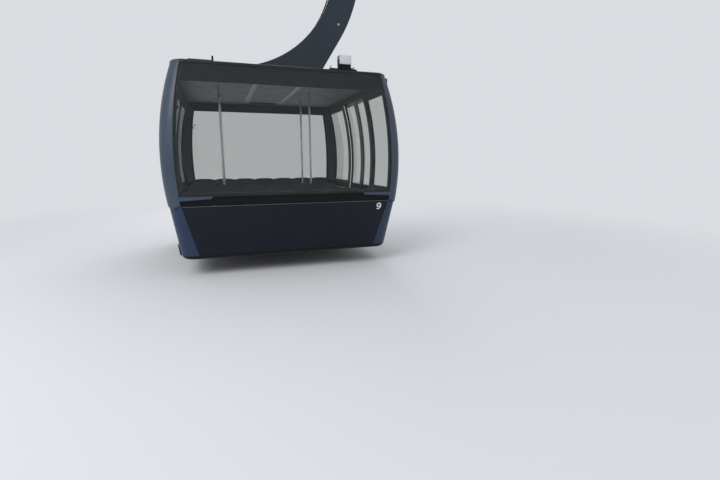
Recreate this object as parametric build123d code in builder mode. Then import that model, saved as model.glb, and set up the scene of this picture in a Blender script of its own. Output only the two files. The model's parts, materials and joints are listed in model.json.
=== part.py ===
"""Tricable gondola: cabin, C-shaped hanger and eight-wheel carriage.

X is the direction of travel, +Y the door side and +Z up. The origin is the
haul rope's centre in the grip. All sizes are in millimetres.
"""
import os
from math import cos, radians, sin, sqrt, tan

from build123d import *

# Ropes and running wheels
HAUL_ROPE_RADIUS = 22.5
TRACK_GAUGE = 1100
TRACK_ROPE_RADIUS = 28
TRACK_ROPE_RISE = 100
WHEEL_TREAD_RADIUS = 150
WHEEL_RIM_RADIUS = 178
WHEEL_WIDTH = 96
WHEEL_GROOVE_WIDTH = 69
WHEEL_HUB_RADIUS = 52
WHEEL_HUB_CHAMFER = 4
WHEEL_WEB = 24
WHEEL_RIM_DEPTH = 34
WHEEL_HOLE_RADIUS = 14
WHEEL_HOLES = 6
WHEEL_PITCH = 420

# Rocker beams
ROCKER_SPACING = 1600
ROCKER_PIVOT_RISE = 120
ROCKER_CHEEK = 14
ROCKER_SIDE_GAP = 6
ROCKER_END_RADIUS = 46
ROCKER_PIVOT_RADIUS = 80
ROCKER_WINDOW_LENGTH = 120
ROCKER_WINDOW_HEIGHT = 48
WHEEL_PIN_RADIUS = 20
WHEEL_PIN_HEAD = 9

# Chassis
CHASSIS_WIDTH = 576
CHASSIS_PLATE = 24
CHASSIS_END_RADIUS = 82
CHASSIS_MIDDLE_RADIUS = 128
CHASSIS_SLOT_RADIUS = 42
CHASSIS_SLOT_LENGTH = 250
CROSS_TUBE_RADIUS = 50
CROSS_TUBE_OVERHANG = 12
TRANSOM_WIDTH = 60
TRANSOM_HEIGHT = 90
TRANSOM_RISE = 60
GRIP_TRANSOM_X = 250
END_TRANSOM_X = 560
TRANSOM_PLACES = (-END_TRANSOM_X, -GRIP_TRANSOM_X, GRIP_TRANSOM_X, END_TRANSOM_X)
BEARING_RADIUS = 96
BEARING_WIDTH = 56

# Drive plate on top of the chassis
DRIVE_PLATE_LENGTH = 2250
DRIVE_PLATE_WIDTH = 320
DRIVE_PLATE_THICKNESS = 22
DRIVE_PLATE_RISE = 168
DRIVE_PLATE_NOSE = 160
DRIVE_PLATE_NOSE_DROP = 40
DRIVE_FOOT_WIDTH = 256

# Rope grip
GRIP_LENGTH = 400
GRIP_JAW_WALL = 26
GRIP_WAIST = 10
GRIP_BACK = 22
GRIP_FRONT = 10
GRIP_PLATE = 36
GRIP_PLATE_LAP = 60
AXLE_CLEARANCE = 10
JAW_CHIN_REACH = 34
JAW_CHIN_DROP = 36
JAW_BACK = 12
JAW_LIP = 40
JAW_EYE_RADIUS = 32
JAW_END_GAP = 6
PIN_POCKET = 40
PIN_CHEEK = 40
PIN_CHEEK_MARGIN = 26
PIN_CHEEK_ROOT = 90
GRIP_PIN_RADIUS = 16
GRIP_PIN_END = 8
GRIP_PIN_PLACE = (52, 96)
GRIP_SPRING_RADIUS = 38
GRIP_SPRING_RISE = 205
GRIP_SPRING_LENGTH = 300
GRIP_SPRING_CAP_RADIUS = 22
GRIP_SPRING_CAP = 24
GRIP_LEVER_REACH = 178
GRIP_LEVER_RISE = 92
GRIP_LEVER_WIDTH = 150
GRIP_LEVER_THICKNESS = 34
GRIP_LEVER_ROOT = 54
GRIP_ROLLER_RADIUS = 36
GRIP_ROLLER_PROUD = 6
JAW_MOUTH = 6

# Swing axle and hanger
SWING_AXLE_RADIUS = 50
RUNNING_FIT = 0.3
SIDE_PLAY = 5
COLLAR_RADIUS = 75
HEAD_RADIUS = 168
HEAD_WIDTH = 190
ARM_DEPTH_AT_HEAD = 300
ARM_THICKNESS = 260
ARM_PLATE = 16
ARM_GROOVE = 14
ARM_INNER_REACH = 1180
ARM_OUTER_REACH = 1640
ARM_KNEE_DROP = 1200
ARM_INNER_BEND = 750
ARM_OUTER_BEND = 1190
ARM_HEEL_RADIUS = 2500
ARM_HEEL_ANGLE = 32
ARM_TOE_DEPTH = 90
FOOT_FLANGE_WIDTH = 338
FOOT_FLANGE = 24
AXLE_ABOVE_ROOF = 3420

# Cabin shell. Heights are above the cabin's base.
CABIN_HEIGHT = 2670
ROOF_EDGE_RADIUS = 38
ROOF_SEAM = 2645
ROOF_TOP = 2690
WALL = 45
SIDE_WIDEST = 1716
SIDE_WIDEST_HEIGHT = 1394
SIDE_BOW_RADIUS = 3930
END_WIDEST = 1950
END_WIDEST_HEIGHT = 1300
END_BOW_RADIUS = 7700
SIDE_FOOT = 1562
END_FOOT = 1690
CORNER_RADIUS = 190
LOWER_STEP = 14
UNDERSIDE_RADIUS = 90
BELT_BOTTOM = 800
LEDGE_BOTTOM = 866
SILL = 925
SKIRT = 62
FLOOR_TOP = 180
FLOOR_MAT = 8
SEAM = 4

# Pillars and windows
SIDE_PILLAR_FACE = 184
SIDE_OPENING_BOW_RADIUS = 5500
END_PILLAR_FACE = 178
END_OPENING_BOW_RADIUS = 14000
PILLAR_FOOT = 735
PILLAR_FOOT_SLANT = 80
CORNER_STEP_GAP = 8
BELT_RECESS = 28
LEDGE_TIP = 1080
LEDGE_TIP_SLANT = 30
LEDGE_TIP_DEPTH = 33
SIDE_LEDGE_TIP = 1330
GLASS = 12
GLASS_RECESS = 3
FRAME_BAND = 42
HEADER_BAND = 225
MULLION = 60
MULLION_PLACE = 600
LOWER_CORNER_SPREAD = 170

# Doors
DOOR_OPENING = 1240
DOOR_LEAF_WIDTH = 660
DOORWAY_TOP = 2500
DOOR_GAP = 10
DOOR_THICKNESS = 34
DOOR_BOTTOM = 150
DOOR_TOP = 2560
DOOR_SEAL = 14
DOOR_FRAME_BAND = 62
DOOR_WINDOW_BOTTOM = 925
DOOR_WINDOW_TOP = 2455
PORTAL_BAND = 55
RAIL_LENGTH = 2760
RAIL_WALL = 6
RAIL_RISE = 40
RAIL_SLOPE_WIDTH = 105
RAIL_SLOPE_DROP = 44
RAIL_OVERHANG = 95
RAIL_LAP = 30
RAIL_LIP = 40
RUNNER_SIZE = 18
RUNNER_RISE = 46
ROLLER_RADIUS = 18
ROLLER_INSET = 110
LUG_WIDTH = 60
LUG_THICKNESS = 8
LUG_GAP = 2
GUIDE_RAIL_DEPTH = 30
GUIDE_WALL = 5
GUIDE_SHOE = 120
GUIDE_DROP = 24

# Inside
SEAT_PITCH = 430
SEAT_GAP = 14
SEAT_HEIGHT = 430
SEAT_DEPTH = 430
SEAT_THICKNESS = 34
SEAT_BACK_HEIGHT = 400
SEAT_BACK_LEAN = 55
SEAT_WALL_GAP = 35
SEAT_EDGE_RADIUS = 14
END_SEATS = 7
INNER_SEATS = 6
INNER_SEAT_BACK = 480
SEAT_BEAM = 50
SEAT_BEAM_PLACE = 175
SEAT_LEG_RADIUS = 24
SEAT_LEG_SPREAD = 0.38
POLE_RADIUS = 17
POLE_FLANGE_RADIUS = 42
POLE_FLANGE = 8
POLE_PLACES = ((-400, -900), (400, -900), (-400, 600), (400, 600))
CEILING_HEIGHT = 2590
CEILING_THICKNESS = 14
LIGHT_LENGTH = 2600
LIGHT_WIDTH = 90
LIGHT_THICKNESS = 10
LIGHT_CORNER_RADIUS = 30
LIGHT_PLACE = 350

# On the roof and under the floor
ROOF_FRAME_DEPTH = 70
ROOF_FRAME_BEAM = 130
ROOF_FRAME_LENGTH = 1700
ROOF_FRAME_SPREAD = 1240
ROOF_FRAME_CORNER = 39
HANGER_FOOT_HEIGHT = 2880
BUFFER_RADIUS = 78
BUFFER_HEIGHT = 60
BUFFER_PAD_RADIUS = 95
RUB_STRIP_HEIGHT = 160
RUB_STRIP_DEPTH = 28
RUB_STRIP_LENGTH = 3000
RUB_STRIP_BOTTOM = 40
UNDERFRAME_BEAM = 90
UNDERFRAME_DEPTH = 40
UNDERFRAME_SPREAD = 1500
UNDERFRAME_LENGTH = 2800
BOX_PLACE = (1640, 823)
BOX_SIZE = (120, 182, 142)
BOX_PLATE_SIZE = (300, 404, 22)
BOX_PLINTH_SIZE = (180, 230, 52)
BOX_OFFSET = (50, 38)
BOX_EDGE = 16
EYE_PLACES = (-175, 175)
EYE_RADIUS = 22
EYE_WIRE = 6
EYE_OFFSET = 75
CABLE_RAIL_PLACE = (1650, -1125)
CABLE_RAIL_LENGTH = 300
CABLE_RAIL_RADIUS = 9
CABLE_RAIL_HEIGHT = 32
CABLE_POST_RADIUS = 13
CABLE_POST_RISE = 60

# Heights and places worked out from the sizes above
WHEEL_Z = TRACK_ROPE_RISE + TRACK_ROPE_RADIUS + WHEEL_TREAD_RADIUS
AXLE_Z = WHEEL_Z + ROCKER_PIVOT_RISE
BASE = AXLE_Z - AXLE_ABOVE_ROOF - CABIN_HEIGHT
BEARING_FACE = CHASSIS_WIDTH / 2 + CHASSIS_PLATE / 2 + BEARING_WIDTH / 2
HEAD_Y = BEARING_FACE + SIDE_PLAY
KNEE_Z = AXLE_Z - ARM_KNEE_DROP
FOOT_Z = BASE + HANGER_FOOT_HEIGHT
PORTAL_HALF = DOOR_OPENING / 2 + PORTAL_BAND
FAR = 3000
LENGTHWISE = Plane.YZ.offset(-FAR)
CROSSWISE = Plane.XZ.offset(-FAR)

os.makedirs("parts", exist_ok=True)


def save(piece, name):
    """Label a finished piece and write it under its name."""
    piece.label = name
    export_step(piece, f"parts/{name}.step")


def side_reach(height):
    """Half-width of the bowed side wall at a height above the base."""
    rise = height - SIDE_WIDEST_HEIGHT
    return SIDE_WIDEST - SIDE_BOW_RADIUS + sqrt(SIDE_BOW_RADIUS**2 - rise**2)


def end_reach(height):
    """Half-length of the bowed end wall at a height above the base."""
    rise = height - END_WIDEST_HEIGHT
    return END_WIDEST - END_BOW_RADIUS + sqrt(END_BOW_RADIUS**2 - rise**2)


def side_opening(height):
    """Half-distance between the corner pillars, seen along the cabin."""
    rise = height - SIDE_WIDEST_HEIGHT
    widest = SIDE_WIDEST - SIDE_PILLAR_FACE
    return widest - SIDE_OPENING_BOW_RADIUS + sqrt(SIDE_OPENING_BOW_RADIUS**2 - rise**2)


def end_opening(height):
    """Half-distance between the corner pillars, seen across the cabin."""
    rise = height - END_WIDEST_HEIGHT
    widest = END_WIDEST - END_PILLAR_FACE
    return widest - END_OPENING_BOW_RADIUS + sqrt(END_OPENING_BOW_RADIUS**2 - rise**2)


def bowed_prism(plane, reach, inset, bottom, top):
    """Everything between two opposite bowed walls and two heights."""
    middle = (bottom + top) / 2
    with BuildPart() as prism:
        with BuildSketch(plane):
            with BuildLine():
                ThreePointArc(
                    (reach(bottom) - inset, BASE + bottom),
                    (reach(middle) - inset, BASE + middle),
                    (reach(top) - inset, BASE + top),
                )
                Line((reach(top) - inset, BASE + top), (inset - reach(top), BASE + top))
                ThreePointArc(
                    (inset - reach(top), BASE + top),
                    (inset - reach(middle), BASE + middle),
                    (inset - reach(bottom), BASE + bottom),
                )
                Line((inset - reach(bottom), BASE + bottom), (reach(bottom) - inset, BASE + bottom))
            make_face()
        extrude(amount=2 * FAR)
    return prism.part


def upper_block(inset):
    """Closed body between the upper walls, set in from their outer faces."""
    with BuildPart() as block:
        add(bowed_prism(LENGTHWISE, side_reach, inset, PILLAR_FOOT, ROOF_SEAM))
        add(bowed_prism(CROSSWISE, end_reach, inset, PILLAR_FOOT, ROOF_SEAM), mode=Mode.INTERSECT)
        corners = [
            edge
            for edge in block.edges()
            if abs(edge.center().X) > END_FOOT and abs(edge.center().Y) > SIDE_FOOT - WALL
        ]
        fillet(corners, radius=CORNER_RADIUS - inset)
    return block.part


def lower_block(inset):
    """Closed body of the lower shell, set in from its outer face."""
    rows = (
        # height, half-length, half-width
        (0, END_FOOT, SIDE_FOOT),
        (BELT_BOTTOM, end_reach(BELT_BOTTOM) - LOWER_STEP, side_reach(BELT_BOTTOM) - LOWER_STEP),
    )
    with BuildPart() as block:
        for height, half_length, half_width in rows:
            with BuildSketch(Plane.XY.offset(BASE + height)):
                RectangleRounded(
                    2 * (half_length - inset),
                    2 * (half_width - inset),
                    CORNER_RADIUS - LOWER_STEP - inset,
                )
        loft(ruled=True)
        fillet(
            block.faces().sort_by(Axis.Z)[0].outer_wire().edges(),
            radius=max(UNDERSIDE_RADIUS - inset, SEAM),
        )
    return block.part


def region(x_range, y_range, height_range):
    """A plain block between two places on each axis, with heights above the base."""
    with BuildPart() as block:
        with BuildSketch(Plane.XY.offset(BASE + height_range[0])):
            with Locations((sum(x_range) / 2, sum(y_range) / 2)):
                Rectangle(x_range[1] - x_range[0], y_range[1] - y_range[0])
        extrude(amount=height_range[1] - height_range[0])
    return block.part


def slab(bottom, top):
    """Everything between two heights above the base."""
    return region((-FAR, FAR), (-FAR, FAR), (bottom, top))


def lower_reach(foot, belt, height):
    """Half-size of the straight lower wall at a height above the base."""
    return foot + (belt - foot) * height / BELT_BOTTOM


def side_panel(plane, offset, thickness, bottom, top, length):
    """A panel that follows the door side's section, extruded along the cabin."""
    belt = side_reach(BELT_BOTTOM) + offset
    foot = lower_reach(SIDE_FOOT + LOWER_STEP, side_reach(BELT_BOTTOM), bottom) + offset
    middle = (BELT_BOTTOM + top) / 2
    with BuildPart() as panel:
        with BuildSketch(plane):
            with BuildLine():
                Line((foot, BASE + bottom), (belt, BASE + BELT_BOTTOM))
                ThreePointArc(
                    (belt, BASE + BELT_BOTTOM),
                    (side_reach(middle) + offset, BASE + middle),
                    (side_reach(top) + offset, BASE + top),
                )
                Line(
                    (side_reach(top) + offset, BASE + top),
                    (side_reach(top) + offset - thickness, BASE + top),
                )
                ThreePointArc(
                    (side_reach(top) + offset - thickness, BASE + top),
                    (side_reach(middle) + offset - thickness, BASE + middle),
                    (belt - thickness, BASE + BELT_BOTTOM),
                )
                Line((belt - thickness, BASE + BELT_BOTTOM), (foot - thickness, BASE + bottom))
                Line((foot - thickness, BASE + bottom), (foot, BASE + bottom))
            make_face()
        extrude(amount=length)
    return panel.part


# Chassis: two bearing plates, the cross tubes and the transoms
with BuildPart() as chassis:
    for side in (-1, 1):
        plate_y = side * (CHASSIS_WIDTH / 2 + CHASSIS_PLATE / 2)
        with BuildSketch(Plane.XZ.offset(-plate_y)):
            with Locations((0, AXLE_Z)):
                Circle(CHASSIS_MIDDLE_RADIUS)
            with Locations((-ROCKER_SPACING / 2, AXLE_Z), (ROCKER_SPACING / 2, AXLE_Z)):
                Circle(CHASSIS_END_RADIUS)
            make_hull()
            with Locations((-ROCKER_SPACING / 4, AXLE_Z), (ROCKER_SPACING / 4, AXLE_Z)):
                SlotOverall(CHASSIS_SLOT_LENGTH, 2 * CHASSIS_SLOT_RADIUS, mode=Mode.SUBTRACT)
        extrude(amount=CHASSIS_PLATE / 2, both=True)
        with BuildSketch(Plane.XZ.offset(-plate_y)):
            with Locations((0, AXLE_Z)):
                Circle(BEARING_RADIUS)
        extrude(amount=BEARING_WIDTH / 2, both=True)
    cross_half = TRACK_GAUGE / 2 + WHEEL_WIDTH / 2 + ROCKER_SIDE_GAP + ROCKER_CHEEK + CROSS_TUBE_OVERHANG
    with BuildSketch(Plane.XZ):
        with Locations((-ROCKER_SPACING / 2, AXLE_Z), (ROCKER_SPACING / 2, AXLE_Z)):
            Circle(CROSS_TUBE_RADIUS)
    extrude(amount=cross_half, both=True)
    for place in TRANSOM_PLACES:
        with BuildSketch(Plane.XY.offset(AXLE_Z + TRANSOM_RISE - TRANSOM_HEIGHT)):
            with Locations((place, 0)):
                Rectangle(TRANSOM_WIDTH, CHASSIS_WIDTH)
        extrude(amount=TRANSOM_HEIGHT)
    with BuildSketch(Plane.XZ):
        with Locations((0, AXLE_Z)):
            Circle(SWING_AXLE_RADIUS + RUNNING_FIT)
    extrude(amount=FAR, both=True, mode=Mode.SUBTRACT)
save(chassis.part, "chassis")

# Drive plate with turned-down noses, on feet over the transoms
plate_bottom = AXLE_Z + DRIVE_PLATE_RISE
nose_x = DRIVE_PLATE_LENGTH / 2
with BuildPart() as drive_plate:
    with BuildSketch(Plane.XZ):
        with BuildLine():
            Polyline(
                (-nose_x, plate_bottom - DRIVE_PLATE_NOSE_DROP),
                (DRIVE_PLATE_NOSE - nose_x, plate_bottom),
                (nose_x - DRIVE_PLATE_NOSE, plate_bottom),
                (nose_x, plate_bottom - DRIVE_PLATE_NOSE_DROP),
                (nose_x, plate_bottom - DRIVE_PLATE_NOSE_DROP + DRIVE_PLATE_THICKNESS),
                (nose_x - DRIVE_PLATE_NOSE, plate_bottom + DRIVE_PLATE_THICKNESS),
                (DRIVE_PLATE_NOSE - nose_x, plate_bottom + DRIVE_PLATE_THICKNESS),
                (-nose_x, plate_bottom - DRIVE_PLATE_NOSE_DROP + DRIVE_PLATE_THICKNESS),
                close=True,
            )
        make_face()
    extrude(amount=DRIVE_PLATE_WIDTH / 2, both=True)
    with BuildSketch(Plane.XY.offset(AXLE_Z + TRANSOM_RISE)):
        for place in TRANSOM_PLACES:
            with Locations((place, 0)):
                Rectangle(TRANSOM_WIDTH, DRIVE_FOOT_WIDTH)
    extrude(amount=DRIVE_PLATE_RISE - TRANSOM_RISE)
save(drive_plate.part, "drive_plate")

# Four rocker beams, each with two cheeks, a pivot boss and two wheel pins
WHEEL_PLACES = [
    # name, x, y
    (
        f"{end_name}_{side_name}_{row_name}",
        end * ROCKER_SPACING / 2 + row * WHEEL_PITCH / 2,
        side * TRACK_GAUGE / 2,
    )
    for end_name, end in (("front", 1), ("rear", -1))
    for side_name, side in (("door_side", 1), ("closed_side", -1))
    for row_name, row in (("leading", 1), ("trailing", -1))
]
with BuildPart() as rocker_beams:
    for end in (-1, 1):
        for side in (-1, 1):
            pivot_x = end * ROCKER_SPACING / 2
            for cheek_side in (-1, 1):
                cheek_y = side * TRACK_GAUGE / 2 + cheek_side * (
                    WHEEL_WIDTH / 2 + ROCKER_SIDE_GAP + ROCKER_CHEEK / 2
                )
                with BuildSketch(Plane.XZ.offset(-cheek_y)):
                    with Locations(
                        (pivot_x - WHEEL_PITCH / 2, WHEEL_Z), (pivot_x + WHEEL_PITCH / 2, WHEEL_Z)
                    ):
                        Circle(ROCKER_END_RADIUS)
                    with Locations((pivot_x, AXLE_Z)):
                        Circle(ROCKER_PIVOT_RADIUS)
                    make_hull()
                    with Locations((pivot_x, AXLE_Z)):
                        Circle(CROSS_TUBE_RADIUS + RUNNING_FIT, mode=Mode.SUBTRACT)
                    with Locations((pivot_x, WHEEL_Z)):
                        SlotOverall(ROCKER_WINDOW_LENGTH, ROCKER_WINDOW_HEIGHT, mode=Mode.SUBTRACT)
                extrude(amount=ROCKER_CHEEK / 2, both=True)
            pin_half = WHEEL_WIDTH / 2 + ROCKER_SIDE_GAP + ROCKER_CHEEK + WHEEL_PIN_HEAD
            with BuildSketch(Plane.XZ.offset(-side * TRACK_GAUGE / 2)):
                with Locations(
                    (pivot_x - WHEEL_PITCH / 2, WHEEL_Z), (pivot_x + WHEEL_PITCH / 2, WHEEL_Z)
                ):
                    Circle(WHEEL_PIN_RADIUS)
            extrude(amount=pin_half, both=True)
save(rocker_beams.part, "rocker_beams")

# Running wheels: a grooved rim on a drilled web and a hub
half = WHEEL_WIDTH / 2
rim_inner = WHEEL_TREAD_RADIUS - WHEEL_RIM_DEPTH
groove_half = WHEEL_GROOVE_WIDTH / 2
hub_edge = WHEEL_HUB_RADIUS - WHEEL_HUB_CHAMFER
for wheel_name, wheel_x, wheel_y in WHEEL_PLACES:
    with BuildPart() as wheel:
        with BuildSketch(Plane.YZ.offset(wheel_x)):
            with BuildLine():
                Polyline(
                    (wheel_y - groove_half, WHEEL_Z + WHEEL_RIM_RADIUS),
                    (wheel_y - half, WHEEL_Z + WHEEL_RIM_RADIUS),
                    (wheel_y - half, WHEEL_Z + rim_inner),
                    (wheel_y - WHEEL_WEB / 2, WHEEL_Z + rim_inner - WHEEL_WEB / 2),
                    (wheel_y - WHEEL_WEB / 2, WHEEL_Z + WHEEL_HUB_RADIUS),
                    (wheel_y - half, WHEEL_Z + hub_edge),
                    (wheel_y - half, WHEEL_Z + WHEEL_PIN_RADIUS + RUNNING_FIT),
                    (wheel_y + half, WHEEL_Z + WHEEL_PIN_RADIUS + RUNNING_FIT),
                    (wheel_y + half, WHEEL_Z + hub_edge),
                    (wheel_y + WHEEL_WEB / 2, WHEEL_Z + WHEEL_HUB_RADIUS),
                    (wheel_y + WHEEL_WEB / 2, WHEEL_Z + rim_inner - WHEEL_WEB / 2),
                    (wheel_y + half, WHEEL_Z + rim_inner),
                    (wheel_y + half, WHEEL_Z + WHEEL_RIM_RADIUS),
                    (wheel_y + groove_half, WHEEL_Z + WHEEL_RIM_RADIUS),
                )
                ThreePointArc(
                    (wheel_y + groove_half, WHEEL_Z + WHEEL_RIM_RADIUS),
                    (wheel_y, WHEEL_Z + WHEEL_TREAD_RADIUS),
                    (wheel_y - groove_half, WHEEL_Z + WHEEL_RIM_RADIUS),
                )
            make_face()
        revolve(axis=Axis((wheel_x, wheel_y, WHEEL_Z), (0, 1, 0)))
        with BuildSketch(Plane.XZ.offset(-wheel_y)):
            with Locations((wheel_x, WHEEL_Z)):
                with PolarLocations((hub_edge + rim_inner) / 2, WHEEL_HOLES):
                    Circle(WHEEL_HOLE_RADIUS)
        extrude(amount=half, both=True, mode=Mode.SUBTRACT)
    save(wheel.part, f"wheel_{wheel_name}")

# Grip body: a column under the transoms that ends in the fixed jaw, with its spring barrel
pin_y, pin_z = GRIP_PIN_PLACE
jaw_radius = HAUL_ROPE_RADIUS + GRIP_JAW_WALL
grip_half = GRIP_LENGTH / 2
column_top = AXLE_Z + TRANSOM_RISE - TRANSOM_HEIGHT
column_back = -jaw_radius - GRIP_BACK
with BuildPart() as grip_body:
    with BuildSketch(Plane.YZ):
        with BuildLine():
            Polyline(
                (-JAW_MOUTH / 2, -jaw_radius),
                (-JAW_CHIN_REACH, -JAW_CHIN_DROP),
                (-jaw_radius - GRIP_WAIST, 0),
                (column_back, pin_z),
                (column_back, column_top),
                (GRIP_FRONT, column_top),
                (GRIP_FRONT, pin_z + PIN_POCKET),
                (-JAW_MOUTH / 2, pin_z - PIN_POCKET / 2),
                close=True,
            )
        make_face()
        Circle(HAUL_ROPE_RADIUS, mode=Mode.SUBTRACT)
    extrude(amount=grip_half, both=True)
    for end in (-1, 1):
        with BuildSketch(Plane.YZ.offset(end * (grip_half - PIN_CHEEK / 2))):
            with BuildLine():
                Polyline(
                    (0, pin_z + PIN_CHEEK_ROOT),
                    (0, pin_z),
                    (pin_y - PIN_CHEEK_MARGIN, pin_z - PIN_CHEEK_MARGIN),
                    (pin_y + PIN_CHEEK_MARGIN, pin_z - PIN_CHEEK_MARGIN),
                    (pin_y + PIN_CHEEK_MARGIN, pin_z + PIN_CHEEK_MARGIN),
                    (PIN_CHEEK_MARGIN, pin_z + PIN_CHEEK_ROOT),
                    close=True,
                )
            make_face()
        extrude(amount=PIN_CHEEK / 2, both=True)
    with BuildSketch(Plane.YZ):
        with Locations((pin_y, pin_z)):
            Circle(GRIP_PIN_RADIUS)
    extrude(amount=grip_half + GRIP_PIN_END, both=True)
    for radius, length in (
        (GRIP_SPRING_RADIUS, GRIP_SPRING_LENGTH),
        (GRIP_SPRING_CAP_RADIUS, GRIP_SPRING_LENGTH + 2 * GRIP_SPRING_CAP),
    ):
        with BuildSketch(Plane.YZ):
            with Locations((column_back, GRIP_SPRING_RISE)):
                Circle(radius)
        extrude(amount=length / 2, both=True)
    with BuildSketch(Plane.XY.offset(column_top - GRIP_PLATE)):
        Rectangle(2 * GRIP_TRANSOM_X + TRANSOM_WIDTH, 2 * (jaw_radius + GRIP_PLATE_LAP))
    extrude(amount=GRIP_PLATE)
    with BuildSketch(Plane.XZ):
        with Locations((0, AXLE_Z)):
            Circle(SWING_AXLE_RADIUS + AXLE_CLEARANCE)
    extrude(amount=CHASSIS_WIDTH, both=True, mode=Mode.SUBTRACT)
save(grip_body.part, "grip_body")

# Moving jaw: hangs on the pin and closes on the rope from the other side
jaw_half = grip_half - PIN_CHEEK - JAW_END_GAP
with BuildPart() as grip_jaw:
    with BuildSketch(Plane.YZ):
        with BuildLine():
            Polyline(
                (JAW_MOUTH / 2, -jaw_radius),
                (JAW_CHIN_REACH, -JAW_CHIN_DROP),
                (jaw_radius + JAW_BACK, 0),
                (pin_y + JAW_EYE_RADIUS, pin_z),
                (pin_y - JAW_EYE_RADIUS, pin_z),
                (JAW_MOUTH / 2, JAW_LIP),
                close=True,
            )
        make_face()
        Circle(HAUL_ROPE_RADIUS, mode=Mode.SUBTRACT)
        with Locations((pin_y, pin_z)):
            Circle(JAW_EYE_RADIUS)
    extrude(amount=jaw_half, both=True)
    with BuildSketch(Plane.YZ):
        with BuildLine():
            Polyline(
                (pin_y, pin_z - GRIP_LEVER_ROOT / 2),
                (pin_y + GRIP_LEVER_REACH, pin_z + GRIP_LEVER_RISE - GRIP_LEVER_THICKNESS / 2),
                (pin_y + GRIP_LEVER_REACH, pin_z + GRIP_LEVER_RISE + GRIP_LEVER_THICKNESS / 2),
                (pin_y, pin_z + GRIP_LEVER_ROOT / 2),
                close=True,
            )
        make_face()
    extrude(amount=GRIP_LEVER_WIDTH / 2, both=True)
    with BuildSketch(Plane.YZ):
        with Locations((pin_y + GRIP_LEVER_REACH, pin_z + GRIP_LEVER_RISE)):
            Circle(GRIP_ROLLER_RADIUS)
    extrude(amount=GRIP_LEVER_WIDTH / 2 + GRIP_ROLLER_PROUD, both=True)
    with BuildSketch(Plane.YZ):
        with Locations((pin_y, pin_z)):
            Circle(GRIP_PIN_RADIUS + RUNNING_FIT)
    extrude(amount=FAR, both=True, mode=Mode.SUBTRACT)
save(grip_jaw.part, "grip_jaw")

# Swing axle, turning in the two bearings, with a collar at its closed-side end
collar_y = -BEARING_FACE - SIDE_PLAY
with BuildPart() as swing_axle:
    with BuildSketch(Plane.XZ.offset(-collar_y + CHASSIS_PLATE)):
        with Locations((0, AXLE_Z)):
            Circle(SWING_AXLE_RADIUS)
    extrude(amount=-(HEAD_Y - collar_y + CHASSIS_PLATE))
    with BuildSketch(Plane.XZ.offset(-collar_y)):
        with Locations((0, AXLE_Z)):
            Circle(COLLAR_RADIUS)
    extrude(amount=CHASSIS_PLATE)
save(swing_axle.part, "swing_axle")

# C-shaped hanger arm: a box with two proud side plates, a bearing head and a foot
toe_height = FOOT_Z + ARM_TOE_DEPTH
toe_y = ARM_INNER_REACH - KNEE_Z + toe_height
head_top = AXLE_Z + ARM_DEPTH_AT_HEAD / 2
head_bottom = AXLE_Z - ARM_DEPTH_AT_HEAD / 2


def heel_end(inset):
    """Outer edge's last point at the foot."""
    angle = radians(ARM_HEEL_ANGLE)
    arc_y = ARM_OUTER_REACH - ARM_HEEL_RADIUS + (ARM_HEEL_RADIUS - inset) * cos(angle)
    arc_z = KNEE_Z - (ARM_HEEL_RADIUS - inset) * sin(angle)
    return arc_y, arc_z, arc_y - (arc_z - FOOT_Z) * tan(angle)


def arm_outline(plane, inset):
    """Side view of the arm, with its long edges set in."""
    arc_y, arc_z, foot_y = heel_end(inset)
    inner_y = ARM_INNER_REACH + inset
    outer_y = ARM_OUTER_REACH - inset
    with BuildSketch(plane) as outline:
        with BuildLine():
            Line((toe_y, FOOT_Z), (toe_y, toe_height - inset))
            CenterArc((toe_y, KNEE_Z), KNEE_Z - toe_height + inset, -90, 90)
            Line((inner_y, KNEE_Z), (inner_y, head_bottom - ARM_INNER_BEND))
            CenterArc(
                (ARM_INNER_REACH - ARM_INNER_BEND, head_bottom - ARM_INNER_BEND),
                ARM_INNER_BEND + inset,
                0,
                90,
            )
            Polyline(
                (ARM_INNER_REACH - ARM_INNER_BEND, head_bottom + inset),
                (HEAD_Y, head_bottom + inset),
                (HEAD_Y, head_top - inset),
                (ARM_OUTER_REACH - ARM_OUTER_BEND, head_top - inset),
            )
            CenterArc(
                (ARM_OUTER_REACH - ARM_OUTER_BEND, head_top - ARM_OUTER_BEND),
                ARM_OUTER_BEND - inset,
                90,
                -90,
            )
            Line((outer_y, head_top - ARM_OUTER_BEND), (outer_y, KNEE_Z))
            CenterArc(
                (ARM_OUTER_REACH - ARM_HEEL_RADIUS, KNEE_Z),
                ARM_HEEL_RADIUS - inset,
                0,
                -ARM_HEEL_ANGLE,
            )
            Polyline((arc_y, arc_z), (foot_y, FOOT_Z), (toe_y, FOOT_Z))
        make_face()
    return outline.sketch


heel_y = heel_end(0)[2]
plate_sketches = [
    arm_outline(Plane.YZ.offset(-ARM_THICKNESS / 2), 0),
    arm_outline(Plane.YZ.offset(ARM_THICKNESS / 2 - ARM_PLATE), 0),
]
core_sketch = arm_outline(Plane.YZ.offset(-ARM_THICKNESS / 2), ARM_GROOVE)
with BuildPart() as hanger_arm:
    extrude(core_sketch, amount=ARM_THICKNESS)
    for plate_sketch in plate_sketches:
        extrude(plate_sketch, amount=ARM_PLATE)
    with BuildSketch(Plane.XZ.offset(-HEAD_Y)):
        with Locations((0, AXLE_Z)):
            Circle(HEAD_RADIUS)
    extrude(amount=-HEAD_WIDTH)
    with BuildSketch(Plane.XY.offset(FOOT_Z)):
        with Locations((0, (heel_y + toe_y) / 2)):
            Rectangle(FOOT_FLANGE_WIDTH, heel_y - toe_y)
    extrude(amount=FOOT_FLANGE)
save(hanger_arm.part, "hanger_arm")

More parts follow.
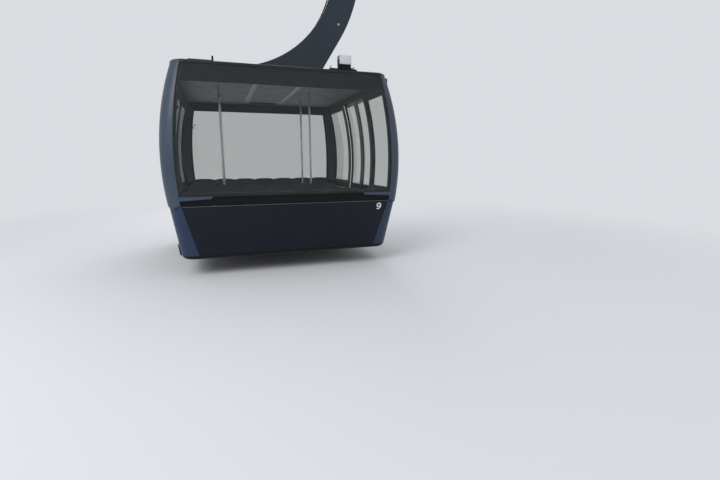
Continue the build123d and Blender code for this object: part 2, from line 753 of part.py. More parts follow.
# Roof frame under the hanger's foot, carried by four rubber buffers
beam_y = ROOF_FRAME_SPREAD / 2
beam_x = ROOF_FRAME_LENGTH / 2
with BuildPart() as roof_frame:
    with BuildSketch(Plane.XY.offset(FOOT_Z - ROOF_FRAME_DEPTH)):
        with Locations((0, -beam_y), (0, beam_y)):
            RectangleRounded(ROOF_FRAME_LENGTH, ROOF_FRAME_BEAM, ROOF_FRAME_CORNER)
        with Locations((ROOF_FRAME_BEAM - beam_x, 0), (beam_x - ROOF_FRAME_BEAM, 0)):
            Rectangle(ROOF_FRAME_BEAM, ROOF_FRAME_SPREAD)
        with Locations((0, (heel_y + toe_y) / 2)):
            Rectangle(FOOT_FLANGE_WIDTH, heel_y - toe_y + ROOF_FRAME_BEAM)
    extrude(amount=ROOF_FRAME_DEPTH)
save(roof_frame.part, "roof_frame")

buffer_x = beam_x - ROOF_FRAME_BEAM
buffer_places = [(x * buffer_x, y * beam_y) for x in (-1, 1) for y in (-1, 1)]
pad_height = HANGER_FOOT_HEIGHT - ROOF_FRAME_DEPTH - BUFFER_HEIGHT
with BuildPart() as roof_buffers:
    with BuildSketch(Plane.XY.offset(BASE + pad_height)):
        with Locations(*buffer_places):
            Circle(BUFFER_RADIUS)
    extrude(amount=BUFFER_HEIGHT)
save(roof_buffers.part, "roof_buffers")

# Shell blocks that the panels are cut from
upper_outer = upper_block(0)
upper_inner = upper_block(WALL)
lower_outer = lower_block(0)
lower_inner = lower_block(WALL)
with BuildPart() as upper_shell:
    add(upper_outer)
    add(upper_inner, mode=Mode.SUBTRACT)
with BuildPart() as lower_shell:
    add(lower_outer)
    add(lower_inner, mode=Mode.SUBTRACT)
    add(slab(SKIRT, BELT_BOTTOM - SEAM), mode=Mode.INTERSECT)
with BuildPart() as belt_ring:
    add(upper_block(BELT_RECESS))
    add(upper_inner, mode=Mode.SUBTRACT)
    add(slab(BELT_BOTTOM, SILL), mode=Mode.INTERSECT)

# Roof: a cap over the upper walls, whose corners belong to the pillars, with four buffer pads
with BuildPart() as roof_cap:
    with BuildSketch(Plane.XY.offset(BASE + ROOF_SEAM)):
        RectangleRounded(2 * end_reach(ROOF_SEAM), 2 * side_reach(ROOF_SEAM), CORNER_RADIUS)
    extrude(amount=ROOF_TOP - ROOF_SEAM)
    fillet(roof_cap.faces().sort_by(Axis.Z)[-1].outer_wire().edges(), radius=ROOF_EDGE_RADIUS)
roof_corner_blocks = [
    region(x_range, y_range, (ROOF_SEAM, ROOF_TOP))
    for x_range in ((-FAR, -end_opening(ROOF_SEAM)), (end_opening(ROOF_SEAM), FAR))
    for y_range in ((-FAR, -side_opening(ROOF_SEAM)), (side_opening(ROOF_SEAM), FAR))
]
with BuildPart() as roof_corners:
    for corner_block in roof_corner_blocks:
        add(corner_block)
    add(roof_cap.part, mode=Mode.INTERSECT)
with BuildPart() as roof_panel:
    add(roof_cap.part)
    for corner_block in roof_corner_blocks:
        add(corner_block, mode=Mode.SUBTRACT)
    with BuildSketch(Plane.XY.offset(BASE + ROOF_TOP)):
        with Locations(*buffer_places):
            Circle(BUFFER_PAD_RADIUS)
    extrude(amount=pad_height - ROOF_TOP)
save(roof_panel.part, "roof_panel")

# Belt recess, a dark ring behind the ledges, open at the doorway
with BuildPart() as belt_recess:
    add(belt_ring.part)
    add(
        region((-PORTAL_HALF, PORTAL_HALF), (0, FAR), (0, CABIN_HEIGHT)),
        mode=Mode.SUBTRACT,
    )
save(belt_recess.part, "belt_recess")

# Upper corner pillars, cut on a slant at the foot, with their belt ledges and roof corners


def foot_wedges(drop):
    """What the pillars' slanted feet leave free on the ends and the sides."""
    wedges = []
    for plane, opening, reach in (
        (LENGTHWISE, side_opening, side_reach),
        (CROSSWISE, end_opening, end_reach),
    ):
        with BuildPart() as wedge:
            with BuildSketch(plane):
                with BuildLine():
                    Polyline(
                        (opening(PILLAR_FOOT) - WALL, BASE + PILLAR_FOOT - drop),
                        (opening(PILLAR_FOOT) - WALL, BASE + PILLAR_FOOT + PILLAR_FOOT_SLANT - drop),
                        (opening(PILLAR_FOOT), BASE + PILLAR_FOOT + PILLAR_FOOT_SLANT - drop),
                        (reach(PILLAR_FOOT), BASE + PILLAR_FOOT - drop),
                        close=True,
                    )
                make_face()
                mirror(about=Plane.YZ)
            extrude(amount=2 * FAR)
        wedges.append(wedge.part)
    return wedges


end_ledge_root = side_reach(SILL) - SIDE_PILLAR_FACE / 2
side_ledge_root = end_reach(SILL) - END_PILLAR_FACE / 2
ledge_root_height = BASE + LEDGE_BOTTOM
with BuildPart() as end_ledges:
    with BuildSketch(LENGTHWISE):
        with BuildLine():
            Polyline(
                (end_ledge_root, BASE + SILL),
                (LEDGE_TIP, BASE + SILL),
                (LEDGE_TIP + LEDGE_TIP_SLANT, BASE + SILL - LEDGE_TIP_DEPTH),
                (end_ledge_root, ledge_root_height),
                close=True,
            )
        make_face()
        mirror(about=Plane.YZ)
    extrude(amount=2 * FAR)
    add(upper_shell.part, mode=Mode.INTERSECT)
with BuildPart() as side_ledges:
    with BuildSketch(CROSSWISE):
        with BuildLine():
            Polyline(
                (side_ledge_root, BASE + SILL),
                (SIDE_LEDGE_TIP, BASE + SILL),
                (SIDE_LEDGE_TIP + LEDGE_TIP_SLANT, BASE + SILL - LEDGE_TIP_DEPTH),
                (side_ledge_root, ledge_root_height),
                close=True,
            )
        make_face()
        mirror(about=Plane.YZ)
    extrude(amount=2 * FAR)
    add(upper_shell.part, mode=Mode.INTERSECT)
with BuildPart() as corner_pillars:
    add(upper_shell.part)
    add(slab(PILLAR_FOOT, ROOF_SEAM), mode=Mode.INTERSECT)
    add(bowed_prism(LENGTHWISE, side_opening, 0, PILLAR_FOOT, ROOF_SEAM), mode=Mode.SUBTRACT)
    add(bowed_prism(CROSSWISE, end_opening, 0, PILLAR_FOOT, ROOF_SEAM), mode=Mode.SUBTRACT)
    for wedge in foot_wedges(0):
        add(wedge, mode=Mode.SUBTRACT)
    add(end_ledges.part)
    add(side_ledges.part)
    add(belt_ring.part, mode=Mode.SUBTRACT)
    add(roof_corners.part)
save(corner_pillars.part, "corner_pillars")

# Lower corner panels, widening towards the skirt, and the panels between them
corner_top_y = side_opening(PILLAR_FOOT)
corner_top_x = end_opening(PILLAR_FOOT)
lower_planes = (
    # plane, half-size at the belt
    (LENGTHWISE, corner_top_y),
    (CROSSWISE, corner_top_x),
)


def lower_wedge(plane, half_top, seam):
    """The stretch of lower wall between two corner panels."""
    half_foot = half_top - LOWER_CORNER_SPREAD
    with BuildPart() as wedge:
        with BuildSketch(plane):
            with BuildLine():
                Polyline(
                    (half_foot - seam, BASE + SKIRT),
                    (half_top - seam, BASE + BELT_BOTTOM),
                    (seam - half_top, BASE + BELT_BOTTOM),
                    (seam - half_foot, BASE + SKIRT),
                    close=True,
                )
            make_face()
        extrude(amount=2 * FAR)
    return wedge.part


with BuildPart() as lower_corner_limits:
    add(slab(SKIRT, PILLAR_FOOT - CORNER_STEP_GAP))
    for wedge in foot_wedges(CORNER_STEP_GAP):
        add(wedge)
with BuildPart() as lower_corner_panels:
    add(lower_shell.part)
    add(lower_corner_limits.part, mode=Mode.INTERSECT)
    for plane, half_top in lower_planes:
        add(lower_wedge(plane, half_top, 0), mode=Mode.SUBTRACT)
save(lower_corner_panels.part, "lower_corner_panels")

with BuildPart() as end_lower_panels:
    add(lower_shell.part)
    add(lower_wedge(LENGTHWISE, corner_top_y, SEAM), mode=Mode.INTERSECT)
save(end_lower_panels.part, "end_lower_panels")

with BuildPart() as side_lower:
    add(lower_shell.part)
    add(lower_wedge(CROSSWISE, corner_top_x, SEAM), mode=Mode.INTERSECT)
with BuildPart() as closed_side_panel:
    add(side_lower.part)
    add(region((-FAR, FAR), (-FAR, 0), (0, CABIN_HEIGHT)), mode=Mode.INTERSECT)
save(closed_side_panel.part, "closed_side_panel")
with BuildPart() as door_side_panels:
    add(side_lower.part)
    add(region((-FAR, FAR), (0, FAR), (0, CABIN_HEIGHT)), mode=Mode.INTERSECT)
    add(
        region((-PORTAL_HALF - SEAM, PORTAL_HALF + SEAM), (0, FAR), (0, CABIN_HEIGHT)),
        mode=Mode.SUBTRACT,
    )
save(door_side_panels.part, "door_side_panels")

# Windows: glass just behind the pillars' faces, and a dark frame behind it
window_top = ROOF_SEAM - SEAM
with BuildPart() as glass_shell:
    add(upper_block(GLASS_RECESS))
    add(upper_block(GLASS_RECESS + GLASS), mode=Mode.SUBTRACT)
with BuildPart() as frame_shell:
    add(upper_block(GLASS_RECESS + GLASS))
    add(upper_inner, mode=Mode.SUBTRACT)
header_bottom = ROOF_SEAM - HEADER_BAND
end_pane = bowed_prism(LENGTHWISE, side_opening, SEAM, SILL + SEAM, window_top)
end_band = bowed_prism(LENGTHWISE, side_opening, SEAM, SILL + SEAM, ROOF_SEAM)
end_hole = bowed_prism(LENGTHWISE, side_opening, FRAME_BAND, SILL + FRAME_BAND, header_bottom)
side_pane = bowed_prism(CROSSWISE, end_opening, SEAM, SILL + SEAM, window_top)
side_band = bowed_prism(CROSSWISE, end_opening, SEAM, SILL + SEAM, ROOF_SEAM)
side_hole = bowed_prism(CROSSWISE, end_opening, FRAME_BAND, SILL + FRAME_BAND, header_bottom)
closed_half = region((-FAR, FAR), (-FAR, 0), (0, CABIN_HEIGHT))
door_half_front = region((PORTAL_HALF + SEAM, FAR), (0, FAR), (0, CABIN_HEIGHT))
door_half_rear = region((-FAR, -PORTAL_HALF - SEAM), (0, FAR), (0, CABIN_HEIGHT))
mullions = [
    region((x - MULLION / 2, x + MULLION / 2), (-FAR, 0), (SILL + FRAME_BAND, header_bottom))
    for x in (-MULLION_PLACE, MULLION_PLACE)
]
with BuildPart() as end_windows:
    add(glass_shell.part)
    add(end_pane, mode=Mode.INTERSECT)
save(end_windows.part, "end_windows")
with BuildPart() as end_window_frames:
    add(frame_shell.part)
    add(end_band, mode=Mode.INTERSECT)
    add(end_hole, mode=Mode.SUBTRACT)
save(end_window_frames.part, "end_window_frames")
with BuildPart() as closed_side_window:
    add(glass_shell.part)
    add(side_pane, mode=Mode.INTERSECT)
    add(closed_half, mode=Mode.INTERSECT)
save(closed_side_window.part, "closed_side_window")
with BuildPart() as closed_side_bars:
    for bar in mullions:
        add(bar)
    add(frame_shell.part, mode=Mode.INTERSECT)
with BuildPart() as closed_side_frame:
    add(frame_shell.part)
    add(side_band, mode=Mode.INTERSECT)
    add(side_hole, mode=Mode.SUBTRACT)
    add(closed_half, mode=Mode.INTERSECT)
    add(closed_side_bars.part)
save(closed_side_frame.part, "closed_side_frame")
with BuildPart() as door_side_windows:
    for half_block in (door_half_front, door_half_rear):
        add(half_block)
    add(glass_shell.part, mode=Mode.INTERSECT)
    add(side_pane, mode=Mode.INTERSECT)
save(door_side_windows.part, "door_side_windows")
door_side_holes = []
for hole_x in ((-FAR, -PORTAL_HALF - FRAME_BAND), (PORTAL_HALF + FRAME_BAND, FAR)):
    with BuildPart() as door_side_hole:
        add(side_hole)
        add(region(hole_x, (0, FAR), (SILL, ROOF_SEAM)), mode=Mode.INTERSECT)
    door_side_holes.append(door_side_hole.part)
with BuildPart() as door_side_frames:
    for half_block in (door_half_front, door_half_rear):
        add(half_block)
    add(frame_shell.part, mode=Mode.INTERSECT)
    add(side_band, mode=Mode.INTERSECT)
    for hole in door_side_holes:
        add(hole, mode=Mode.SUBTRACT)
save(door_side_frames.part, "door_side_frames")

# Door portal: jambs, lintel and sill round the doorway, as thick as the wall
with BuildPart() as door_portal:
    add(
        side_panel(
            Plane.YZ.offset(-PORTAL_HALF),
            -GLASS_RECESS - LOWER_STEP,
            WALL - GLASS_RECESS - LOWER_STEP,
            SKIRT,
            ROOF_SEAM,
            2 * PORTAL_HALF,
        )
    )
    add(
        region(
            (-DOOR_OPENING / 2, DOOR_OPENING / 2), (0, FAR), (FLOOR_TOP + FLOOR_MAT, DOORWAY_TOP)
        ),
        mode=Mode.SUBTRACT,
    )
save(door_portal.part, "door_portal")

# Top door rail: a hood that stands on the roof's edge, with the runner hung inside it
leaf_outer = DOOR_GAP + DOOR_THICKNESS
leaf_top_y = side_reach(DOOR_TOP)
runner_y = leaf_top_y + DOOR_GAP + DOOR_THICKNESS / 2
runner_top = DOOR_TOP + RUNNER_RISE
hood_top = ROOF_TOP + RAIL_RISE
hood_bottom = DOOR_TOP + RAIL_LIP
hood_y = leaf_top_y + leaf_outer + RAIL_OVERHANG
slope_y = hood_y - RAIL_SLOPE_WIDTH
bracket_y = side_reach(runner_top - RUNNER_SIZE) + GLASS_RECESS
lap_y = side_reach(ROOF_SEAM) - ROOF_EDGE_RADIUS - RAIL_LAP
hood_outside = [
    (hood_y, BASE + hood_bottom),
    (hood_y, BASE + hood_top - RAIL_SLOPE_DROP),
    (slope_y, BASE + hood_top),
    (lap_y, BASE + hood_top),
    (lap_y, BASE + ROOF_TOP),
]
hood_inside = [
    (lap_y + RAIL_WALL, BASE + ROOF_TOP),
    (lap_y + RAIL_WALL, BASE + hood_top - RAIL_WALL),
    (bracket_y, BASE + hood_top - RAIL_WALL),
    (bracket_y, BASE + runner_top - RUNNER_SIZE),
    (runner_y + RUNNER_SIZE / 2, BASE + runner_top - RUNNER_SIZE),
    (runner_y + RUNNER_SIZE / 2, BASE + runner_top),
    (bracket_y + RAIL_WALL, BASE + runner_top),
    (bracket_y + RAIL_WALL, BASE + hood_top - RAIL_WALL),
    (slope_y, BASE + hood_top - RAIL_WALL),
    (hood_y - RAIL_WALL, BASE + hood_top - RAIL_SLOPE_DROP - RAIL_WALL),
    (hood_y - RAIL_WALL, BASE + hood_bottom),
]
hood_cap = [(bracket_y, BASE + ROOF_TOP), (bracket_y, BASE + hood_bottom)]
with BuildPart() as door_top_rail:
    with BuildSketch(Plane.YZ.offset(-RAIL_LENGTH / 2)):
        with BuildLine():
            Polyline(*hood_outside, *hood_inside, close=True)
        make_face()
    extrude(amount=RAIL_LENGTH)
    for cap_x in (-RAIL_LENGTH / 2, RAIL_LENGTH / 2 - RAIL_WALL):
        with BuildSketch(Plane.YZ.offset(cap_x)):
            with BuildLine():
                Polyline(*hood_outside, *hood_cap, close=True)
            make_face()
        extrude(amount=RAIL_WALL)
save(door_top_rail.part, "door_top_rail")

# Bottom door rail: a channel on the lower wall that guides the leaves' shoes
guide_top = DOOR_BOTTOM - DOOR_GAP
guide_y = lower_reach(SIDE_FOOT, side_reach(BELT_BOTTOM) - LOWER_STEP, guide_top)
shoe_y = lower_reach(SIDE_FOOT + LOWER_STEP, side_reach(BELT_BOTTOM), DOOR_BOTTOM) + DOOR_GAP
with BuildPart() as door_bottom_rail:
    with BuildSketch(Plane.YZ.offset(-RAIL_LENGTH / 2)):
        with BuildLine():
            Polyline(
                (guide_y, BASE + guide_top),
                (guide_y + GUIDE_WALL, BASE + guide_top),
                (guide_y + GUIDE_WALL, BASE + guide_top - GUIDE_RAIL_DEPTH + GUIDE_WALL),
                (shoe_y + DOOR_THICKNESS + GUIDE_WALL, BASE + guide_top - GUIDE_RAIL_DEPTH + GUIDE_WALL),
                (shoe_y + DOOR_THICKNESS + GUIDE_WALL, BASE + guide_top),
                (shoe_y + DOOR_THICKNESS + 2 * GUIDE_WALL, BASE + guide_top),
                (shoe_y + DOOR_THICKNESS + 2 * GUIDE_WALL, BASE + guide_top - GUIDE_RAIL_DEPTH),
                (guide_y - GUIDE_WALL, BASE + guide_top - GUIDE_RAIL_DEPTH),
                close=True,
            )
        make_face()
    extrude(amount=RAIL_LENGTH)
    add(lower_outer, mode=Mode.SUBTRACT)
save(door_bottom_rail.part, "door_bottom_rail")

# Two door leaves that slide apart outside the wall, each with its pane and rubber edge
for leaf_name, way in (("front", 1), ("rear", -1)):
    leaf_start = DOOR_SEAL if way > 0 else -DOOR_SEAL - DOOR_LEAF_WIDTH
    leaf_middle = leaf_start + DOOR_LEAF_WIDTH / 2
    pane_x = (leaf_start + DOOR_FRAME_BAND, leaf_start + DOOR_LEAF_WIDTH - DOOR_FRAME_BAND)
    leaf_plane = Plane.YZ.offset(leaf_start)
    with BuildPart() as leaf:
        add(side_panel(leaf_plane, leaf_outer, DOOR_THICKNESS, DOOR_BOTTOM, DOOR_TOP, DOOR_LEAF_WIDTH))
        add(region(pane_x, (0, FAR), (DOOR_WINDOW_BOTTOM, DOOR_WINDOW_TOP)), mode=Mode.SUBTRACT)
        for lug_x in (leaf_start + ROLLER_INSET, leaf_start + DOOR_LEAF_WIDTH - ROLLER_INSET):
            roller_z = runner_top + ROLLER_RADIUS + RUNNING_FIT
            add(
                region(
                    (lug_x - LUG_WIDTH / 2, lug_x + LUG_WIDTH / 2),
                    (runner_y + RUNNER_SIZE / 2 + LUG_GAP, leaf_top_y + leaf_outer),
                    (DOOR_TOP - LUG_THICKNESS, roller_z + LUG_THICKNESS),
                )
            )
            with BuildSketch(Plane.XZ.offset(-runner_y + RUNNER_SIZE / 2)):
                with Locations((lug_x, BASE + roller_z)):
                    Circle(ROLLER_RADIUS)
            extrude(amount=-(RUNNER_SIZE + LUG_THICKNESS))
        add(
            region(
                (leaf_middle - GUIDE_SHOE, leaf_middle + GUIDE_SHOE),
                (shoe_y + GUIDE_WALL, shoe_y + DOOR_THICKNESS - GUIDE_WALL),
                (DOOR_BOTTOM - GUIDE_DROP, DOOR_BOTTOM + GUIDE_WALL),
            )
        )
    save(leaf.part, f"door_leaf_{leaf_name}")
    with BuildPart() as pane:
        add(
            side_panel(
                leaf_plane,
                leaf_outer - GLASS_RECESS,
                GLASS,
                DOOR_WINDOW_BOTTOM,
                DOOR_WINDOW_TOP,
                DOOR_LEAF_WIDTH,
            )
        )
        add(region(pane_x, (0, FAR), (DOOR_WINDOW_BOTTOM, DOOR_WINDOW_TOP)), mode=Mode.INTERSECT)
    save(pane.part, f"door_glass_{leaf_name}")
    seal_start = RUNNING_FIT / 2 if way > 0 else -DOOR_SEAL
    with BuildPart() as seal:
        add(
            side_panel(
                Plane.YZ.offset(seal_start),
                leaf_outer - GLASS_RECESS,
                DOOR_THICKNESS - 2 * GLASS_RECESS,
                DOOR_BOTTOM,
                DOOR_TOP,
                DOOR_SEAL - RUNNING_FIT / 2,
            )
        )
    save(seal.part, f"door_seal_{leaf_name}")

# Floor: a pan that shows as the skirt, and the mat on it
with BuildPart() as floor_deck:
    add(lower_inner)
    add(slab(SKIRT, FLOOR_TOP), mode=Mode.INTERSECT)
with BuildPart() as floor_pan:
    add(lower_outer)
    add(slab(0, SKIRT), mode=Mode.INTERSECT)
    add(floor_deck.part)
save(floor_pan.part, "floor_pan")
with BuildPart() as floor_mat:
    add(lower_inner)
    add(slab(FLOOR_TOP, FLOOR_TOP + FLOOR_MAT), mode=Mode.INTERSECT)
save(floor_mat.part, "floor_mat")

# Ceiling with two light strips
with BuildPart() as ceiling:
    add(upper_inner)
    add(slab(CEILING_HEIGHT, CEILING_HEIGHT + CEILING_THICKNESS), mode=Mode.INTERSECT)
save(ceiling.part, "ceiling")
with BuildPart() as ceiling_lights:
    with BuildSketch(Plane.XY.offset(BASE + CEILING_HEIGHT - LIGHT_THICKNESS)):
        with Locations((0, -LIGHT_PLACE), (0, LIGHT_PLACE)):
            RectangleRounded(LIGHT_LENGTH, LIGHT_WIDTH, LIGHT_CORNER_RADIUS)
    extrude(amount=LIGHT_THICKNESS)
save(ceiling_lights.part, "ceiling_lights")

# Seats: four cross rows of moulded shells on beams with legs
seat_top = FLOOR_TOP + FLOOR_MAT + SEAT_HEIGHT
end_belt = end_reach(BELT_BOTTOM) - LOWER_STEP
end_seat_back = lower_reach(END_FOOT, end_belt, seat_top) - WALL - SEAT_WALL_GAP
row_start = -END_SEATS * SEAT_PITCH / 2
seat_rows = (
    # name, back, way that it faces, seats
    ("end_seats_front", end_seat_back, -1, END_SEATS),
    ("end_seats_rear", -end_seat_back, 1, END_SEATS),
    ("inner_seats_front", INNER_SEAT_BACK, 1, INNER_SEATS),
    ("inner_seats_rear", -INNER_SEAT_BACK, -1, INNER_SEATS),
)
for row_name, back_x, way, seats in seat_rows:
    with BuildPart() as seat_row:
        for seat in range(seats):
            seat_y = row_start + seat * SEAT_PITCH + SEAT_GAP / 2
            with BuildSketch(Plane.XZ.offset(-seat_y)):
                with BuildLine():
                    Polyline(
                        (back_x + way * SEAT_DEPTH, BASE + seat_top),
                        (back_x + way * SEAT_THICKNESS, BASE + seat_top - SEAT_THICKNESS / 2),
                        (
                            back_x - way * (SEAT_BACK_LEAN - SEAT_THICKNESS),
                            BASE + seat_top + SEAT_BACK_HEIGHT,
                        ),
                        (back_x - way * SEAT_BACK_LEAN, BASE + seat_top + SEAT_BACK_HEIGHT),
                        (back_x, BASE + seat_top - SEAT_THICKNESS * 1.5),
                        (back_x + way * SEAT_DEPTH, BASE + seat_top - SEAT_THICKNESS),
                        close=True,
                    )
                make_face()
            extrude(amount=SEAT_GAP - SEAT_PITCH)
        fillet(seat_row.edges().filter_by(Axis.Y), radius=SEAT_EDGE_RADIUS)
    save(seat_row.part, row_name)
with BuildPart() as seat_frames:
    underside_rise = 0.5 * SEAT_THICKNESS * (SEAT_BEAM_PLACE - SEAT_BEAM / 2) / SEAT_DEPTH
    beam_top = seat_top - 1.5 * SEAT_THICKNESS + underside_rise - RUNNING_FIT
    for row_name, back_x, way, seats in seat_rows:
        beam_place = back_x + way * SEAT_BEAM_PLACE
        row_length = seats * SEAT_PITCH
        row_middle = row_start + row_length / 2
        add(
            region(
                (beam_place - SEAT_BEAM / 2, beam_place + SEAT_BEAM / 2),
                (row_start + SEAT_GAP, row_start + row_length - SEAT_GAP),
                (beam_top - SEAT_BEAM, beam_top),
            )
        )
        with BuildSketch(Plane.XY.offset(BASE + FLOOR_TOP + FLOOR_MAT)):
            leg_step = row_length * SEAT_LEG_SPREAD
            with Locations(*((beam_place, row_middle + leg * leg_step) for leg in (-1, 0, 1))):
                Circle(SEAT_LEG_RADIUS)
        extrude(amount=beam_top - SEAT_BEAM - FLOOR_TOP - FLOOR_MAT)
save(seat_frames.part, "seat_frames")

# Grab poles from floor to ceiling beside the doorway aisle
pole_bottom = BASE + FLOOR_TOP + FLOOR_MAT
pole_top = BASE + CEILING_HEIGHT
with BuildPart() as grab_poles:
    for level, amount, radius in (
        (pole_bottom, POLE_FLANGE, POLE_FLANGE_RADIUS),
        (pole_top - POLE_FLANGE, POLE_FLANGE, POLE_FLANGE_RADIUS),
        (pole_bottom, pole_top - pole_bottom, POLE_RADIUS),
    ):
        with BuildSketch(Plane.XY.offset(level)):
            with Locations(*POLE_PLACES):
                Circle(radius)
        extrude(amount=amount)
save(grab_poles.part, "grab_poles")

# Control box, on a plinth and a base plate with two lifting eyes
plate_x, plate_y = BOX_PLACE
box_x = plate_x + BOX_OFFSET[0]
box_y = plate_y + BOX_OFFSET[1]
plate_top = BASE + ROOF_TOP + BOX_PLATE_SIZE[2]
plinth_top = plate_top + BOX_PLINTH_SIZE[2]
with BuildPart() as roof_box_base:
    with BuildSketch(Plane.XY.offset(BASE + ROOF_TOP)):
        with Locations(BOX_PLACE):
            Rectangle(BOX_PLATE_SIZE[0], BOX_PLATE_SIZE[1])
    extrude(amount=BOX_PLATE_SIZE[2])
    with BuildSketch(Plane.XY.offset(plate_top)):
        with Locations((box_x, box_y)):
            Rectangle(BOX_PLINTH_SIZE[0], BOX_PLINTH_SIZE[1])
    extrude(amount=BOX_PLINTH_SIZE[2])
    for eye_y in EYE_PLACES:
        with BuildSketch(Plane.XZ.offset(-plate_y - eye_y)):
            with Locations((plate_x + EYE_OFFSET, plate_top + EYE_RADIUS)):
                Circle(EYE_RADIUS + EYE_WIRE)
                Circle(EYE_RADIUS - EYE_WIRE, mode=Mode.SUBTRACT)
        extrude(amount=EYE_WIRE, both=True)
save(roof_box_base.part, "roof_box_base")
with BuildPart() as roof_box:
    with BuildSketch(Plane.XY.offset(plinth_top)):
        with Locations((box_x, box_y)):
            RectangleRounded(BOX_SIZE[0], BOX_SIZE[1], BOX_EDGE)
    extrude(amount=BOX_SIZE[2])
    fillet(roof_box.faces().sort_by(Axis.Z)[-1].outer_wire().edges(), radius=BOX_EDGE / 2)
save(roof_box.part, "roof_box")

# Cable rail on its two posts
rail_x, rail_y = CABLE_RAIL_PLACE
with BuildPart() as roof_cable_rail:
    with BuildSketch(Plane.XY.offset(BASE + ROOF_TOP)):
        with Locations(
            (rail_x, rail_y - CABLE_RAIL_LENGTH / 2), (rail_x, rail_y + CABLE_RAIL_LENGTH / 2)
        ):
            Circle(CABLE_POST_RADIUS)
    extrude(amount=CABLE_RAIL_HEIGHT)
    with BuildSketch(Plane.XY.offset(BASE + ROOF_TOP + CABLE_RAIL_HEIGHT)):
        with Locations((rail_x, rail_y + CABLE_RAIL_LENGTH / 2)):
            Circle(CABLE_POST_RADIUS)
    extrude(amount=CABLE_POST_RISE)
    with BuildSketch(Plane.XZ.offset(-rail_y)):
        with Locations((rail_x, BASE + ROOF_TOP + CABLE_RAIL_HEIGHT)):
            Circle(CABLE_RAIL_RADIUS)
    extrude(amount=CABLE_RAIL_LENGTH / 2 + CABLE_POST_RADIUS, both=True)
save(roof_cable_rail.part, "roof_cable_rail")

# Rub strip along the closed side and two runners under the floor
strip_foot = lower_reach(SIDE_FOOT, side_reach(BELT_BOTTOM) - LOWER_STEP, RUB_STRIP_BOTTOM)
strip_head = lower_reach(
    SIDE_FOOT, side_reach(BELT_BOTTOM) - LOWER_STEP, RUB_STRIP_BOTTOM + RUB_STRIP_HEIGHT
)
with BuildPart() as rub_strip:
    with BuildSketch(Plane.YZ.offset(-RUB_STRIP_LENGTH / 2)):
        with BuildLine():
            Polyline(
                (-strip_foot, BASE + RUB_STRIP_BOTTOM),
                (-strip_foot - RUB_STRIP_DEPTH, BASE + RUB_STRIP_BOTTOM + RUB_STRIP_DEPTH / 2),
                (-strip_head - RUB_STRIP_DEPTH, BASE + RUB_STRIP_BOTTOM + RUB_STRIP_HEIGHT),
                (-strip_head, BASE + RUB_STRIP_BOTTOM + RUB_STRIP_HEIGHT),
                close=True,
            )
        make_face()
    extrude(amount=RUB_STRIP_LENGTH)
    add(lower_outer, mode=Mode.SUBTRACT)
save(rub_strip.part, "rub_strip")
with BuildPart() as underfloor_runners:
    with BuildSketch(Plane.XY.offset(BASE - UNDERFRAME_DEPTH)):
        with Locations((0, -UNDERFRAME_SPREAD / 2), (0, UNDERFRAME_SPREAD / 2)):
            Rectangle(UNDERFRAME_LENGTH, UNDERFRAME_BEAM)
    extrude(amount=UNDERFRAME_DEPTH)
save(underfloor_runners.part, "underfloor_runners")
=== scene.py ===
"""Looks of a tricable gondola: finishes, trim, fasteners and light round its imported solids."""
import json
from math import atan2, cos, pi, radians, sin, sqrt

import bmesh
import bpy
from mathutils import Matrix, Vector


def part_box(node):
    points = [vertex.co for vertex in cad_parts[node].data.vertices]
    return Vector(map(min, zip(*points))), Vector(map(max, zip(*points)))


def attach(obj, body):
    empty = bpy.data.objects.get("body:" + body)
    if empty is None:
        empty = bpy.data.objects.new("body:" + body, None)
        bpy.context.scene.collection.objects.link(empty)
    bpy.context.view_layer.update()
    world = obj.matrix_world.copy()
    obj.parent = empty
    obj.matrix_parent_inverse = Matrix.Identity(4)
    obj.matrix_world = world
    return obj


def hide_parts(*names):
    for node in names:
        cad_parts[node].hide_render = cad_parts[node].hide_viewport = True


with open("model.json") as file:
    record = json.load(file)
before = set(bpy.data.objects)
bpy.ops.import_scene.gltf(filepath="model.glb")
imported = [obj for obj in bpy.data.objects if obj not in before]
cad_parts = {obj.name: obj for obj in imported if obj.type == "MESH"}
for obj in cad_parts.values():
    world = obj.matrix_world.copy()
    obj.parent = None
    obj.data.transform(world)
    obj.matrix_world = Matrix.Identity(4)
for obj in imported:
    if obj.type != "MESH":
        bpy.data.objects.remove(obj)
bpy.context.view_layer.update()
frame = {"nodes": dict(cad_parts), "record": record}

# The cabin's bowed shell, in metres, with heights above its base
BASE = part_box("floor_pan")[0].z
SIDE_WIDEST = 1.716
SIDE_WIDEST_HEIGHT = 1.394
SIDE_BOW_RADIUS = 3.930
END_WIDEST = 1.950
END_WIDEST_HEIGHT = 1.300
END_BOW_RADIUS = 7.700
CORNER_RADIUS = 0.190
PILLAR_FOOT = 0.735
PILLAR_FOOT_SLANT = 0.080
PILLAR_FOOT_GAP = 0.008
BELT_BOTTOM = 0.800
LOWER_STEP = 0.014
SIDE_FOOT = 1.562
END_FOOT = 1.690

# Its windows, between the corner pillars and beside the doorway
SILL = 0.925
ROOF_SEAM = 2.645
SIDE_OPENING_WIDEST = 1.532
SIDE_OPENING_BOW_RADIUS = 5.500
END_OPENING_WIDEST = 1.772
END_OPENING_BOW_RADIUS = 14.000
PORTAL_HALF = 0.675
GLASS = 0.009
GLASS_RECESS = 0.003
SEAM = 0.004
BEAD_INSET = 0.002

# Its door leaves, which stand proud of the wall
LEAF_PROUD = 0.044
LEAF_WIDTH = 0.660
LEAF_BAND = 0.062
LEAF_SEAL = 0.014
LEAF_PANE_BOTTOM = 0.925
LEAF_PANE_TOP = 2.455
PANE_EASE = 0.0005

# The roof's frame on its buffers, the arm's foot and the plate under the control box
BUFFERS = [(x, y) for x in (-0.72, 0.72) for y in (-0.62, 0.62)]
FOOT_FLANGE = 0.024
ARM_HALF = 0.130
BOX_PLATE = 0.022

